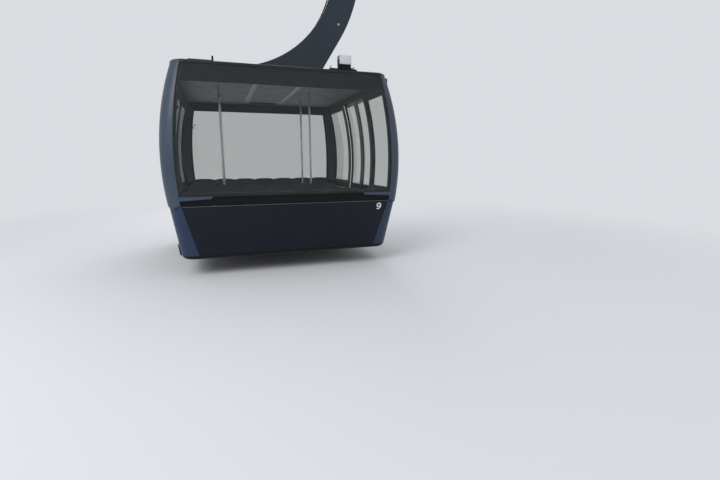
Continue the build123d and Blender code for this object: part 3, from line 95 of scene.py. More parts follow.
# The carriage, with heights above the haul rope's centre
WHEEL_Z = 0.278
AXLE_Z = 0.398
GAUGE_HALF = 0.550
ROCKER_X = 0.800
WHEEL_PITCH_HALF = 0.210
TRANSOM_PLACES = (-0.560, -0.250, 0.250, 0.560)

# The seats inside
SEAT_PITCH = 0.430
SEAT_GAP = 0.014
SEAT_DEPTH = 0.430
SEAT_BACK_RISE = 0.400

# Where the camera stood, and the floor under the cabin
CAMERA_PLACE = (7.865, -1.006)
CAMERA_ABOVE_BASE = 1.43
CAMERA_HEADING = (-0.9461, 0.3238)
CAMERA_PITCH = 11.2
CAMERA_LENS = 20.55
FLOOR_BELOW_BASE = 0.27
FLOOR_REACH = 60.0


def between(start, end, share):
    """The number that lies a share of the way from start to end."""
    return start + (end - start) * share


def along(start, end, count):
    """Evenly spaced numbers from start to end."""
    return [between(start, end, step / (count - 1)) for step in range(count)]


def bow(widest, radius, rise):
    """Reach of a bowed edge at a rise above its widest place."""
    return widest - radius + sqrt(radius**2 - rise**2)


def side_reach(height):
    """Half-width of the bowed side walls at a height."""
    return bow(SIDE_WIDEST, SIDE_BOW_RADIUS, height - SIDE_WIDEST_HEIGHT)


def end_reach(height):
    """Half-length of the bowed end walls at a height."""
    return bow(END_WIDEST, END_BOW_RADIUS, height - END_WIDEST_HEIGHT)


def side_opening(height):
    """Half-distance between the corner pillars across the cabin's end."""
    return bow(SIDE_OPENING_WIDEST, SIDE_OPENING_BOW_RADIUS, height - SIDE_WIDEST_HEIGHT)


def end_opening(height):
    """Half-distance between the corner pillars along the cabin's side."""
    return bow(END_OPENING_WIDEST, END_OPENING_BOW_RADIUS, height - END_WIDEST_HEIGHT)


def corner_drop(place, start, inset):
    """How far the rounded corner falls back from the flat of the wall, at a place along it."""
    run = max(0.0, abs(place) - start)
    radius = CORNER_RADIUS - inset
    return radius - sqrt(radius**2 - run**2)


def end_face(y, height, inset):
    """A front-end point of the upper shell, set in from its outer face."""
    drop = corner_drop(y, side_reach(height) - CORNER_RADIUS, inset)
    return Vector((end_reach(height) - inset - drop, y, BASE + height))


def side_face(x, height, inset):
    """A door-side point of the upper shell, set in from its outer face."""
    drop = corner_drop(x, end_reach(height) - CORNER_RADIUS, inset)
    return Vector((x, side_reach(height) - inset - drop, BASE + height))


def lower_end(height):
    """Half-length of the straight lower end walls at a height."""
    return between(END_FOOT, end_reach(BELT_BOTTOM) - LOWER_STEP, height / BELT_BOTTOM)


def lower_side(height):
    """Half-width of the straight lower side walls at a height."""
    return between(SIDE_FOOT, side_reach(BELT_BOTTOM) - LOWER_STEP, height / BELT_BOTTOM)


def new_material(name, **sockets):
    """A material with one Principled shader. Its constant sockets are given in words with underscores."""
    material = bpy.data.materials.new(name)
    material.use_nodes = True
    shader = material.node_tree.nodes["Principled BSDF"]
    for socket, value in sockets.items():
        shader.inputs[socket.replace("_", " ").title().replace("Ior", "IOR")].default_value = value
    return material, shader


def object_coords(tree, scale=(1.0, 1.0, 1.0)):
    """Object coordinates through a Mapping node that stretches the pattern."""
    coords = tree.nodes.new("ShaderNodeTexCoord")
    mapping = tree.nodes.new("ShaderNodeMapping")
    mapping.inputs["Scale"].default_value = scale
    tree.links.new(coords.outputs["Object"], mapping.inputs["Vector"])
    return mapping.outputs["Vector"]


def noise(tree, vector, size, detail=4.0, roughness=0.5):
    """A noise whose features are about `size` metres wide."""
    node = tree.nodes.new("ShaderNodeTexNoise")
    node.inputs["Scale"].default_value = 1.0 / size
    node.inputs["Detail"].default_value = detail
    node.inputs["Roughness"].default_value = roughness
    tree.links.new(vector, node.inputs["Vector"])
    return node.outputs["Fac"]


def map_range(tree, value, source, target, interpolation="LINEAR"):
    """One stretch of numbers mapped to another, and held at its ends."""
    node = tree.nodes.new("ShaderNodeMapRange")
    node.interpolation_type = interpolation
    for socket, limit in zip(("From Min", "From Max", "To Min", "To Max"), (*source, *target)):
        node.inputs[socket].default_value = limit
    tree.links.new(value, node.inputs["Value"])
    return node.outputs["Result"]


def shade(colour, factor):
    """A colour made lighter or darker."""
    return tuple(min(1.0, channel * factor) for channel in colour)


def colour_by(tree, shader, pattern, stretch, colours):
    """Base colour that runs between two colours over a stretch of a pattern."""
    node = tree.nodes.new("ShaderNodeValToRGB")
    for stop, place, colour in zip(node.color_ramp.elements, stretch, colours):
        stop.position = place
        stop.color = (*colour, 1.0)
    tree.links.new(pattern, node.inputs["Fac"])
    tree.links.new(node.outputs["Color"], shader.inputs["Base Color"])


def roughness_by(tree, shader, pattern, low, high):
    """Roughness that runs from low to high over a pattern's middle stretch."""
    tree.links.new(map_range(tree, pattern, (0.35, 0.65), (low, high)), shader.inputs["Roughness"])


def bump(tree, shader, height, depth):
    """Fine relief from a pattern, `depth` metres deep."""
    node = tree.nodes.new("ShaderNodeBump")
    node.inputs["Distance"].default_value = depth
    tree.links.new(height, node.inputs["Height"])
    tree.links.new(node.outputs["Normal"], shader.inputs["Normal"])


def sprayed_paint(name, colour, roughness, coat=0.0, shine=0.26):
    """Paint with faint clouding, wiped dust and the orange peel of a spray gun."""
    material, shader = new_material(name, coat_weight=coat, coat_roughness=0.06, specular_ior_level=shine)
    tree = material.node_tree
    vector = object_coords(tree)
    clouds = noise(tree, vector, size=0.45, detail=5.0)
    wipes = noise(tree, object_coords(tree, (1.0, 1.0, 0.35)), size=0.12, detail=6.0)
    peel = noise(tree, vector, size=0.004, detail=2.0)
    colour_by(tree, shader, clouds, (0.35, 0.68), (shade(colour, 0.92), shade(colour, 1.07)))
    roughness_by(tree, shader, wipes, roughness * 0.95, roughness * 1.06)
    bump(tree, shader, peel, depth=0.00008)
    return material


def moulded_plastic(name, colour, roughness, grain=0.0015, depth=0.0002, shine=0.35):
    """Plastic or rubber with a fine moulded grain."""
    material, shader = new_material(name, specular_ior_level=shine)
    tree = material.node_tree
    vector = object_coords(tree)
    clouds = noise(tree, vector, size=0.2)
    rubs = noise(tree, vector, size=0.05)
    colour_by(tree, shader, clouds, (0.35, 0.68), (shade(colour, 0.85), shade(colour, 1.15)))
    roughness_by(tree, shader, rubs, roughness * 0.9, roughness * 1.1)
    bump(tree, shader, noise(tree, vector, size=grain, detail=3.0), depth)
    return material


def turned_metal(name, colour, roughness, stretch):
    """Bare metal with drawn or turned lines along one axis."""
    material, shader = new_material(name, metallic=1.0)
    tree = material.node_tree
    lines = noise(tree, object_coords(tree, stretch), size=0.004, detail=5.0)
    stains = noise(tree, object_coords(tree), size=0.18)
    colour_by(tree, shader, stains, (0.35, 0.7), (shade(colour, 0.82), colour))
    roughness_by(tree, shader, lines, roughness * 0.85, roughness * 1.15)
    bump(tree, shader, lines, depth=0.00002)
    return material


def cast_metal(name, colour, roughness):
    """Cast or forged steel with a rough skin and oily patches."""
    material, shader = new_material(name, metallic=0.85)
    tree = material.node_tree
    vector = object_coords(tree)
    skin = noise(tree, vector, size=0.006, detail=6.0, roughness=0.65)
    oil = noise(tree, vector, size=0.09, detail=5.0)
    colour_by(tree, shader, oil, (0.40, 0.62), (shade(colour, 0.6), colour))
    roughness_by(tree, shader, oil, roughness * 0.65, roughness * 1.15)
    bump(tree, shader, skin, depth=0.0005)
    return material


def smoked_glass(name, colour):
    """Flat smoked glass with the faint waviness of toughened panes."""
    material, shader = new_material(
        name, base_color=(*colour, 1.0), roughness=0.0, ior=1.30, transmission_weight=1.0
    )
    tree = material.node_tree
    bump(tree, shader, noise(tree, object_coords(tree), size=0.30, detail=1.0), depth=0.0003)
    return material


def studded_mat(name, colour, pitch=0.028):
    """Rubber floor with round studs."""
    material, shader = new_material(name, roughness=0.62)
    tree = material.node_tree
    studs = tree.nodes.new("ShaderNodeTexVoronoi")
    studs.inputs["Scale"].default_value = 1.0 / pitch
    studs.inputs["Randomness"].default_value = 0.0
    tree.links.new(object_coords(tree), studs.inputs["Vector"])
    colour_by(tree, shader, studs.outputs["Distance"], (0.20, 0.55), (shade(colour, 1.35), colour))
    tops = map_range(tree, studs.outputs["Distance"], (0.28, 0.36), (1.0, 0.0))
    bump(tree, shader, tops, depth=0.0015)
    return material


def opal_lens(name, colour):
    """Ribbed opal plastic over a lamp that is off."""
    material, shader = new_material(name, roughness=0.35)
    tree = material.node_tree
    ribs = noise(tree, object_coords(tree, (0.05, 1.0, 1.0)), size=0.006, detail=2.0)
    colour_by(tree, shader, ribs, (0.3, 0.7), (shade(colour, 0.9), colour))
    return material


FINISHES = {
    "pillar_paint": sprayed_paint("pillar_paint", (0.047, 0.065, 0.096), 0.40, coat=0.05),
    "corner_paint": sprayed_paint("corner_paint", (0.022, 0.041, 0.084), 0.40, coat=0.05),
    "gloss_panel": sprayed_paint("gloss_panel", (0.0048, 0.0080, 0.0160), 0.14, shine=0.25),
    "roof_paint": sprayed_paint("roof_paint", (0.013, 0.0145, 0.018), 0.42),
    "hanger_paint": sprayed_paint("hanger_paint", (0.024, 0.033, 0.046), 0.42, coat=0.08),
    "box_paint": sprayed_paint("box_paint", (0.62, 0.65, 0.68), 0.42),
    # pale grey for the beads that paint the highlight on the lower panels' top edge
    "highlight_grey": sprayed_paint("highlight_grey", (0.115, 0.120, 0.130), 0.35),
    "black_trim": moulded_plastic("black_trim", (0.0045, 0.0055, 0.0070), 0.36, shine=0.15),
    "frit_black": sprayed_paint("frit_black", (0.014, 0.018, 0.028), 0.45, shine=0.2),
    "black_rubber": moulded_plastic("black_rubber", (0.014, 0.014, 0.014), 0.72, grain=0.003, depth=0.0004),
    # dark grey seat plastic, made darker still as painted shade for the dim inside of the cabin
    "seat_shell": moulded_plastic("seat_shell", (0.030, 0.035, 0.043), 0.48),
    "ceiling_panel": moulded_plastic("ceiling_panel", (0.34, 0.35, 0.37), 0.55),
    "floor_rubber": studded_mat("floor_rubber", (0.030, 0.032, 0.036)),
    "light_lens": opal_lens("light_lens", (0.46, 0.465, 0.46)),
    "tinted_glass": smoked_glass("tinted_glass", (0.73, 0.74, 0.725)),
    "brushed_tube": turned_metal("brushed_tube", (0.62, 0.63, 0.64), 0.28, (1.0, 1.0, 0.05)),
    "machined_steel": turned_metal("machined_steel", (0.50, 0.51, 0.52), 0.34, (0.05, 1.0, 1.0)),
    "wheel_alloy": turned_metal("wheel_alloy", (0.55, 0.56, 0.58), 0.36, (1.0, 0.05, 1.0)),
    "cast_grip": cast_metal("cast_grip", (0.17, 0.17, 0.175), 0.55),
    "release_red": moulded_plastic("release_red", (0.42, 0.020, 0.014), 0.38),
    "number_white": sprayed_paint("number_white", (0.78, 0.78, 0.76), 0.5),
    "dark_steel": sprayed_paint("dark_steel", (0.055, 0.065, 0.080), 0.48),
}
OWN_FINISH = {
    # solid, and its finish where that isn't its record slot's
    "closed_side_frame": "frit_black",
    "door_side_frames": "frit_black",
    "end_window_frames": "frit_black",
    "floor_mat": "floor_rubber",
    # the control box's housing is black round its pale front cover; its dark flanks are painted shade
    "roof_box": "black_trim",
    "hanger_arm": "hanger_paint",
    "roof_frame": "hanger_paint",
}


def finish_solids():
    """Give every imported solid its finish."""
    for part in frame["record"]["subparts"]:
        node = part["node"]
        mesh = frame["nodes"][node].data
        mesh.materials.clear()
        mesh.materials.append(FINISHES[OWN_FINISH.get(node, part["material_slot"])])


def add_object(name, data):
    """An object in the scene that holds a mesh, curve, lamp or camera."""
    made = bpy.data.objects.new(name, data)
    bpy.context.scene.collection.objects.link(made)
    return made


def place_piece(piece, finish, body):
    """Give a new piece its finish and the body that it rides on."""
    piece.data.materials.clear()
    piece.data.materials.append(FINISHES[finish])
    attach(piece, body)


def mesh_piece(bm, name, smooth_angle=40.0):
    """Close a bmesh into an object, with faces outwards and soft shading below an angle."""
    bmesh.ops.recalc_face_normals(bm, faces=bm.faces)
    for face in bm.faces:
        face.smooth = True
    for edge in bm.edges:
        if len(edge.link_faces) == 2 and edge.calc_face_angle() > radians(smooth_angle):
            edge.smooth = False
    mesh = bpy.data.meshes.new(name)
    bm.to_mesh(mesh)
    bm.free()
    return add_object(name, mesh)


def curve_mesh(curve, name):
    """The mesh that a curve's bevel or fill makes, in place of the curve."""
    holder = add_object(name + "_line", curve)
    mesh = bpy.data.meshes.new_from_object(holder.evaluated_get(bpy.context.evaluated_depsgraph_get()))
    mesh.name = name
    bpy.data.objects.remove(holder)
    bpy.data.curves.remove(curve)
    return mesh


def bead_piece(name, paths, radius, closed=True):
    """Round beads along paths of points, as one mesh."""
    curve = bpy.data.curves.new(name, "CURVE")
    curve.dimensions = "3D"
    curve.bevel_depth = radius
    curve.bevel_resolution = 3
    curve.use_fill_caps = not closed
    for path in paths:
        spline = curve.splines.new("POLY")
        spline.points.add(len(path) - 1)
        for point, place in zip(spline.points, path):
            point.co = (*place, 1.0)
        spline.use_cyclic_u = closed
    mesh = curve_mesh(curve, name)
    for face in mesh.polygons:
        face.use_smooth = True
    return add_object(name, mesh)


def ease_edges(bm, edges, offset, segments):
    """Take edges off with a bevel."""
    bmesh.ops.bevel(
        bm, geom=list(edges), offset=offset, segments=segments, profile=0.5, affect="EDGES", material=-1
    )


def bevelled_block(bm, middle, size, bevel, segments=2):
    """A box with its edges taken off."""
    place = Matrix.Translation(middle) @ Matrix.Diagonal((*size, 1.0))
    made = bmesh.ops.create_cube(bm, size=1.0, matrix=place)
    ease_edges(bm, {edge for vert in made["verts"] for edge in vert.link_edges}, bevel, segments)


def fasteners(name, rows, sides=6, across=0.009, height=0.006, washer=1.35):
    """Bolt heads or caps on washers. Each row gives a head's foot and the way it points."""
    washer_share = 0.25
    top_share = 0.96
    edge_share = 0.18
    sharp_angle = 1.0
    discs = (
        # radius, height, sides
        (across * washer, height * washer_share, 20),
        (across, height, sides),
    )
    bm = bmesh.new()
    for foot, way in rows:
        turn = Vector(way).to_track_quat("Z", "Y").to_matrix().to_4x4()
        for radius, tall, segments in discs:
            made = bmesh.ops.create_cone(
                bm,
                cap_ends=True,
                segments=segments,
                radius1=radius,
                radius2=radius * top_share,
                depth=tall,
                matrix=Matrix.Translation(foot) @ turn @ Matrix.Translation((0, 0, tall / 2)),
            )
            edges = {edge for vert in made["verts"] for edge in vert.link_edges}
            sharp = [edge for edge in edges if edge.calc_face_angle(0.0) > sharp_angle]
            ease_edges(bm, sharp, tall * edge_share, segments=1)
    return mesh_piece(bm, name)


def ring(centre, radius, count, axis="Y"):
    """Points spaced round a circle whose axis is Y or Z."""
    x, y, z = centre
    turns = [2 * pi * (step + 0.5) / count for step in range(count)]
    if axis == "Z":
        return [(x + radius * cos(turn), y + radius * sin(turn), z) for turn in turns]
    return [(x + radius * cos(turn), y, z + radius * sin(turn)) for turn in turns]


def turned_ring(name, centre, axis, profile, steps):
    """A closed profile spun round an axis. It gives places along the axis and their radii."""
    bm = bmesh.new()
    corners = [
        bm.verts.new((centre.x + axis[0] * run, centre.y + axis[1] * run, centre.z + reach))
        for run, reach in profile
    ]
    edges = [bm.edges.new(ends) for ends in zip(corners, corners[1:] + corners[:1])]
    bmesh.ops.spin(
        bm, geom=corners + edges, cent=centre, axis=axis, angle=2 * pi, steps=steps, use_merge=True
    )
    bmesh.ops.remove_doubles(bm, verts=bm.verts, dist=1e-5)
    return mesh_piece(bm, name)


def bowed_panes(name, node, body, places):
    """Smoothly bowed panes in place of a solid's faceted ones. Each place maps two shares and an inset."""
    bm = bmesh.new()
    for place in places:
        for inset in (GLASS_RECESS, GLASS_RECESS + GLASS):
            made = bmesh.ops.create_grid(bm, x_segments=24, y_segments=40, size=0.5)
            for vert in made["verts"]:
                vert.co = place(vert.co.x + 0.5, vert.co.y + 0.5, inset)
        rims = [edge for edge in bm.edges if edge.is_boundary]
        bmesh.ops.bridge_loops(bm, edges=rims)
    panes = mesh_piece(bm, name)
    place_piece(panes, "tinted_glass", body)
    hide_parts(node)


def end_pane(way):
    """Places on one end's window, from pillar to pillar."""

    def place(share, lift, inset):
        height = between(SILL + SEAM, ROOF_SEAM - SEAM, lift)
        x, y, z = end_face((2 * share - 1) * (side_opening(height) - SEAM), height, inset)
        return (way * x, y, z)

    return place


def side_pane(side, start_share, way):
    """Places on a side window, from a start that may follow one pillar, out to the other pillar."""

    def place(share, lift, inset):
        height = between(SILL + SEAM, ROOF_SEAM - SEAM, lift)
        reach = end_opening(height) - SEAM
        x, y, z = side_face(way * between(start_share(reach), reach, share), height, inset)
        return (x, side * y, z)

    return place


def door_pane(way):
    """Places on one door leaf's window, a hair inside its frame."""
    near = LEAF_SEAL + LEAF_BAND + PANE_EASE
    far = LEAF_SEAL + LEAF_WIDTH - LEAF_BAND - PANE_EASE

    def place(share, lift, inset):
        height = between(LEAF_PANE_BOTTOM + PANE_EASE, LEAF_PANE_TOP - PANE_EASE, lift)
        return (way * between(near, far, share), side_reach(height) + LEAF_PROUD - inset, BASE + height)

    return place


def glaze_windows():
    """The fixed windows and the door panes, clear of the frames behind them."""
    by_door = [side_pane(1, lambda reach: PORTAL_HALF + SEAM, way) for way in (-1, 1)]
    bowed_panes("end_panes", "end_windows", "cabin", [end_pane(way) for way in (-1, 1)])
    bowed_panes("closed_side_pane", "closed_side_window", "cabin", [side_pane(-1, lambda reach: -reach, 1)])
    bowed_panes("door_side_panes", "door_side_windows", "cabin", by_door)
    bowed_panes("door_pane_front", "door_glass_front", "door_front", [door_pane(1)])
    bowed_panes("door_pane_rear", "door_glass_rear", "door_rear", [door_pane(-1)])


def bead_windows():
    """Rubber beads round every fixed pane, in the seam between glass and pillar."""
    rise = along(SILL + BEAD_INSET, ROOF_SEAM - BEAD_INSET, 22)
    sink = 0.005
    end_paths = []
    for way in (-1, 1):
        right = [end_face(side_opening(h) - BEAD_INSET, h, sink) for h in rise]
        left = [Vector((x, -y, z)) for x, y, z in reversed(right)]
        end_paths.append([(way * x, y, z) for x, y, z in right + left])
    corner = [side_face(end_opening(h) - BEAD_INSET, h, sink) for h in rise]
    closed_front = [(x, -y, z) for x, y, z in corner]
    closed_rear = [(-x, y, z) for x, y, z in reversed(closed_front)]
    side_paths = [closed_front + closed_rear]
    doorway = PORTAL_HALF + BEAD_INSET
    for way in (-1, 1):
        outer = [(way * x, y, z) for x, y, z in corner]
        inner = [(way * doorway, side_reach(h) - sink, BASE + h) for h in reversed(rise)]
        side_paths.append(outer + inner)
    bead = bead_piece("window_beads", end_paths + side_paths, radius=0.0045)
    place_piece(bead, "black_rubber", "cabin")


def seal_pillar_feet():
    """Rubber cords in the gaps between the pillars' slanted feet and the corner panels."""
    cord_radius = 0.0052
    cord_inset = 0.022
    last_lift = 1.05
    end, side = end_reach(PILLAR_FOOT), side_reach(PILLAR_FOOT)
    end_root, side_root = end_opening(PILLAR_FOOT), side_opening(PILLAR_FOOT)
    radius = CORNER_RADIUS - cord_inset
    corner = []
    for angle in along(0.0, pi / 2, 24):
        x = end - CORNER_RADIUS + radius * cos(angle)
        y = side - CORNER_RADIUS + radius * sin(angle)
        lift = max((end - x) / (end - end_root), (side - y) / (side - side_root))
        if lift < last_lift:
            height = PILLAR_FOOT + PILLAR_FOOT_SLANT * min(lift, 1.0) - PILLAR_FOOT_GAP / 2
            corner.append((x, y, BASE + height))
    paths = [[(way * x, flank * y, z) for x, y, z in corner] for way in (-1, 1) for flank in (-1, 1)]
    cords = bead_piece("pillar_foot_seals", paths, cord_radius, closed=False)
    place_piece(cords, "black_rubber", "cabin")


def number_outline():
    """Outline and counter of a plain 9 with a hooked foot, standing on the origin."""
    bowl_middle = (0.0, 0.0715)
    bowl_reach = 0.039
    bowl_rise = 0.0365
    stroke = 0.019
    foot = 0.0175
    tail_middle = (-0.004, 0.066)
    tail_reach = 0.043
    hook = [(-0.029, 0.0215), (-0.033, 0.0045)]

    def oval(middle, reach, rise, turns):
        return [(middle[0] + reach * cos(turn), middle[1] + rise * sin(turn)) for turn in turns]

    def off_bowl(x, y):
        """A place seen from the bowl's middle, in shares of its reach and rise."""
        return x / bowl_reach, (y - bowl_middle[1]) / bowl_rise

    tail = oval(tail_middle, tail_reach - stroke, tail_middle[1] - foot, along(0, -pi / 2, 41))
    inner = [place for place in tail if Vector(off_bowl(*place)).length > 1]
    across, up = off_bowl(*inner[0])
    bowl = oval(bowl_middle, bowl_reach, bowl_rise, along(0, 2 * pi + atan2(up, across), 41))
    outer = oval(tail_middle, tail_reach, tail_middle[1], along(-pi / 2, 0, 13))
    counter = oval(bowl_middle, bowl_reach - stroke, bowl_rise - stroke, along(0, 2 * pi, 33)[:-1])
    return bowl + inner[1:] + hook + outer, counter


def number_ends():
    """The cabin's plain number, in white, on both end panels."""
    height = 0.6535
    off_centre = 1.348
    lean = (lower_end(BELT_BOTTOM) - END_FOOT) / BELT_BOTTOM
    for way, name in ((1, "number_front"), (-1, "number_rear")):
        curve = bpy.data.curves.new(name, "CURVE")
        curve.dimensions = "2D"
        curve.fill_mode = "BOTH"
        curve.extrude = 0.0006
        for outline in number_outline():
            line = curve.splines.new("POLY")
            line.points.add(len(outline) - 1)
            line.points.foreach_set("co", [value for x, y in outline for value in (x, y, 0.0, 1.0)])
            line.use_cyclic_u = True
        mesh = curve_mesh(curve, name)
        up = Vector((way * lean, 0, 1)).normalized()
        across = Vector((0, way, 0))
        turn = Matrix((across, up, across.cross(up))).transposed().to_4x4()
        mesh.transform(Matrix.Translation((way * lower_end(height), way * off_centre, BASE + height)) @ turn)
        place_piece(add_object(name, mesh), "number_white", "cabin")


def wheels():
    """Every running wheel's node, which is also its body's name, and its centre."""
    for part in frame["record"]["subparts"]:
        node = part["node"]
        if node.startswith("wheel_"):
            low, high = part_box(node)
            yield node, (low + high) / 2


def line_wheels():
    """A rubber lining in each wheel's groove."""
    tread = 0.150
    rim = 0.178
    groove_half = 0.0346
    lining_half = 0.024
    lining_proud = 0.0015
    lining_sink = 0.002
    groove_radius = (groove_half**2 + (rim - tread) ** 2) / (2 * (rim - tread))
    profile = [
        (run, tread + groove_radius - sqrt(groove_radius**2 - run**2) + lining_proud)
        for run in along(-lining_half, lining_half, 9)
    ]
    profile += [(lining_half, tread - lining_sink), (-lining_half, tread - lining_sink)]
    for node, centre in wheels():
        lining = turned_ring(node.replace("wheel_", "lining_"), centre, (0, 1, 0), profile, steps=64)
        place_piece(lining, "black_rubber", node)


def bolt_wheels():
    """Six bolts on each side of every wheel's web, between its holes."""
    web_half = 0.012
    bolt_circle = 0.082
    for node, centre in wheels():
        rows = []
        for side in (-1, 1):
            face = (centre.x, centre.y + side * web_half, centre.z)
            rows += [(place, (0, side, 0)) for place in ring(face, bolt_circle, 6)]
        bolts = fasteners(node.replace("wheel_", "web_bolts_"), rows, across=0.007, height=0.005)
        place_piece(bolts, "dark_steel", node)


def bolt_carriage():
    """Bolts on the closed side's bearing, the wheel pins, the transoms and the drive plate's feet."""
    bearing_face = -0.328
    bearing_circle = 0.0855
    pin_face = 0.077
    chassis_face = 0.312
    transom_rises = (-0.012, 0.042)
    foot_x, foot_y, foot_rise = 0.030, 0.085, 0.105
    rows = [(place, (0, -1, 0)) for place in ring((0, bearing_face, AXLE_Z), bearing_circle, 8)]
    for rocker in (-ROCKER_X, ROCKER_X):
        for x in (rocker - WHEEL_PITCH_HALF, rocker + WHEEL_PITCH_HALF):
            for side in (-1, 1):
                for offset in (-1, 1):
                    rows.append(((x, side * GAUGE_HALF + offset * pin_face, WHEEL_Z), (0, offset, 0)))
    for x in TRANSOM_PLACES:
        for side in (-1, 1):
            for rise in transom_rises:
                rows.append(((x, side * chassis_face, AXLE_Z + rise), (0, side, 0)))
            for offset in (-1, 1):
                rows.append(((x + offset * foot_x, side * foot_y, AXLE_Z + foot_rise), (offset, 0, 0)))
    bolts = fasteners("carriage_bolts", rows, across=0.0095, height=0.008)
    place_piece(bolts, "machined_steel", "carriage")


def cap_cross_tubes():
    """A round cover with four screws on each end of the cross tubes."""
    tube_end = 0.630
    cover = 0.006
    screw_circle = 0.030
    ends = [(x, side) for x in (-ROCKER_X, ROCKER_X) for side in (-1, 1)]
    rows = [((x, side * tube_end, AXLE_Z), (0, side, 0)) for x, side in ends]
    covers = fasteners("tube_caps", rows, sides=40, across=0.043, height=cover, washer=1.0)
    place_piece(covers, "machined_steel", "carriage")
    rows = [
        (place, (0, side, 0))
        for x, side in ends
        for place in ring((x, side * (tube_end + cover), AXLE_Z), screw_circle, 4)
    ]
    heads = fasteners("tube_cap_screws", rows, across=0.0045, height=0.004)
    place_piece(heads, "dark_steel", "carriage")


def dress_grip():
    """Nuts on the grip's pin and spring barrel, its mounting bolts and the roller's tyre."""
    pin_end = (0.208, 0.052, 0.096)
    spring_end = (0.174, -0.0705, 0.205)
    plate_bolts = (0.238, 0.262)
    plate_bolt_y = 0.095
    plate_underside = 0.332
    roller_centre = Vector((0.0, 0.230, 0.188))
    tyre_profile = (
        # place along the roller, radius
        (-0.060, 0.0350),
        (-0.060, 0.0385),
        (-0.054, 0.0410),
        (0.054, 0.0410),
        (0.060, 0.0385),
        (0.060, 0.0350),
    )
    rows = [((side * x, y, z), (side, 0, 0)) for side in (-1, 1) for x, y, z in (pin_end, spring_end)]
    nuts = fasteners("grip_nuts", rows, across=0.013, height=0.010)
    place_piece(nuts, "machined_steel", "carriage")
    rows = [
        ((side * x, y, plate_underside), (0, 0, -1))
        for side in (-1, 1)
        for x in plate_bolts
        for y in (-plate_bolt_y, plate_bolt_y)
    ]
    bolts = fasteners("grip_plate_bolts", rows, across=0.009, height=0.008)
    place_piece(bolts, "machined_steel", "carriage")
    tyre = turned_ring("lever_roller_tyre", roller_centre, (1, 0, 0), tyre_profile, steps=48)
    place_piece(tyre, "black_rubber", "grip_jaw")


def dress_hanger():
    """Bolts and weld at the arm's foot, nuts over the buffers and a plug on each side of the arm."""
    foot_bolt_x = 0.150
    foot_bolts_y = (-0.69, 0.78)
    weld_y = (-0.740, 0.818)
    weld_radius = 0.005
    plug_y = 1.231
    plug_height = 3.808
    frame_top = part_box("roof_frame")[1].z
    flange_top = frame_top + FOOT_FLANGE
    rows = [
        ((side * foot_bolt_x, y, flange_top), (0, 0, 1))
        for side in (-1, 1)
        for y in along(*foot_bolts_y, 10)
    ]
    rows += [((x, y, frame_top), (0, 0, 1)) for x, y in BUFFERS]
    bolts = fasteners("foot_bolts", rows, across=0.012, height=0.014)
    place_piece(bolts, "machined_steel", "cabin")
    corners = ((-1, weld_y[0]), (1, weld_y[0]), (1, weld_y[1]), (-1, weld_y[1]))
    foot = [(side * ARM_HALF, y, flange_top) for side, y in corners]
    weld = bead_piece("foot_weld", [foot], weld_radius)
    place_piece(weld, "hanger_paint", "cabin")
    rows = [((side * ARM_HALF, plug_y, BASE + plug_height), (side, 0, 0)) for side in (-1, 1)]
    plugs = fasteners("arm_plugs", rows, sides=24, across=0.014, height=0.004, washer=1.4)
    place_piece(plugs, "machined_steel", "cabin")


def plate_buffers():
    """A round steel edge at the top and the bottom of each rubber buffer."""
    edge_radius = 0.004
    plate_radius = 0.0775
    low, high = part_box("roof_buffers")
    edges = [
        ring((x, y, z), plate_radius, 40, "Z")
        for x, y in BUFFERS
        for z in (low.z + edge_radius, high.z - edge_radius)
    ]
    plates = bead_piece("buffer_plates", edges, edge_radius)
    place_piece(plates, "machined_steel", "cabin")


def paint_belt_highlight():
    """Thin pale grey beads along the belt, a painted highlight on the lower panels' top edge, between the
    corner panels and beside the doorway.
    """
    belt = BELT_BOTTOM - 0.010
    end_gap = 0.012
    proud = 0.0005
    end, side = lower_end(belt) + proud, lower_side(belt) + proud
    half_y = side_opening(PILLAR_FOOT) - end_gap
    half_x = end_opening(PILLAR_FOOT) - end_gap
    doorway = PORTAL_HALF + end_gap
    z = BASE + belt
    lines = [[(way * end, -half_y, z), (way * end, half_y, z)] for way in (-1, 1)]
    lines.append([(-half_x, -side, z), (half_x, -side, z)])
    lines += [[(way * half_x, side, z), (way * doorway, side, z)] for way in (-1, 1)]
    # the pale grey beads are a painted highlight on the panels' top edge
    trim = bead_piece("belt_highlight_beads", lines, radius=0.0035, closed=False)
    place_piece(trim, "highlight_grey", "cabin")


def screw_trims():
    """Screws along the hood over the doorway and along the closed side's rub strip."""
    hood_height = 2.655
    hood_reach = 1.32
    strip_height = 0.130
    strip_reach = 1.42
    strip_proud = 0.028
    hood_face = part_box("door_top_rail")[1].y
    strip_face = -lower_side(strip_height) - strip_proud
    rows = [((x, hood_face, BASE + hood_height), (0, 1, 0)) for x in along(-hood_reach, hood_reach, 12)]
    rows += [
        ((x, strip_face, BASE + strip_height), (0, -1, 0)) for x in along(-strip_reach, strip_reach, 14)
    ]
    screws = fasteners("trim_screws", rows, sides=18, across=0.0065, height=0.003, washer=1.0)
    place_piece(screws, "machined_steel", "cabin")


def stay_windows():
    """Two black caps on each end window, near the closed side."""
    places = ((-1.436, 2.078), (-1.402, 2.132))
    rows = []
    for way in (-1, 1):
        for y, height in places:
            rows.append(((way * (end_reach(height) - GLASS_RECESS), y, BASE + height), (way, 0, 0.1)))
    caps = fasteners("window_stays", rows, sides=24, across=0.012, height=0.002, washer=1.3)
    place_piece(caps, "black_rubber", "cabin")


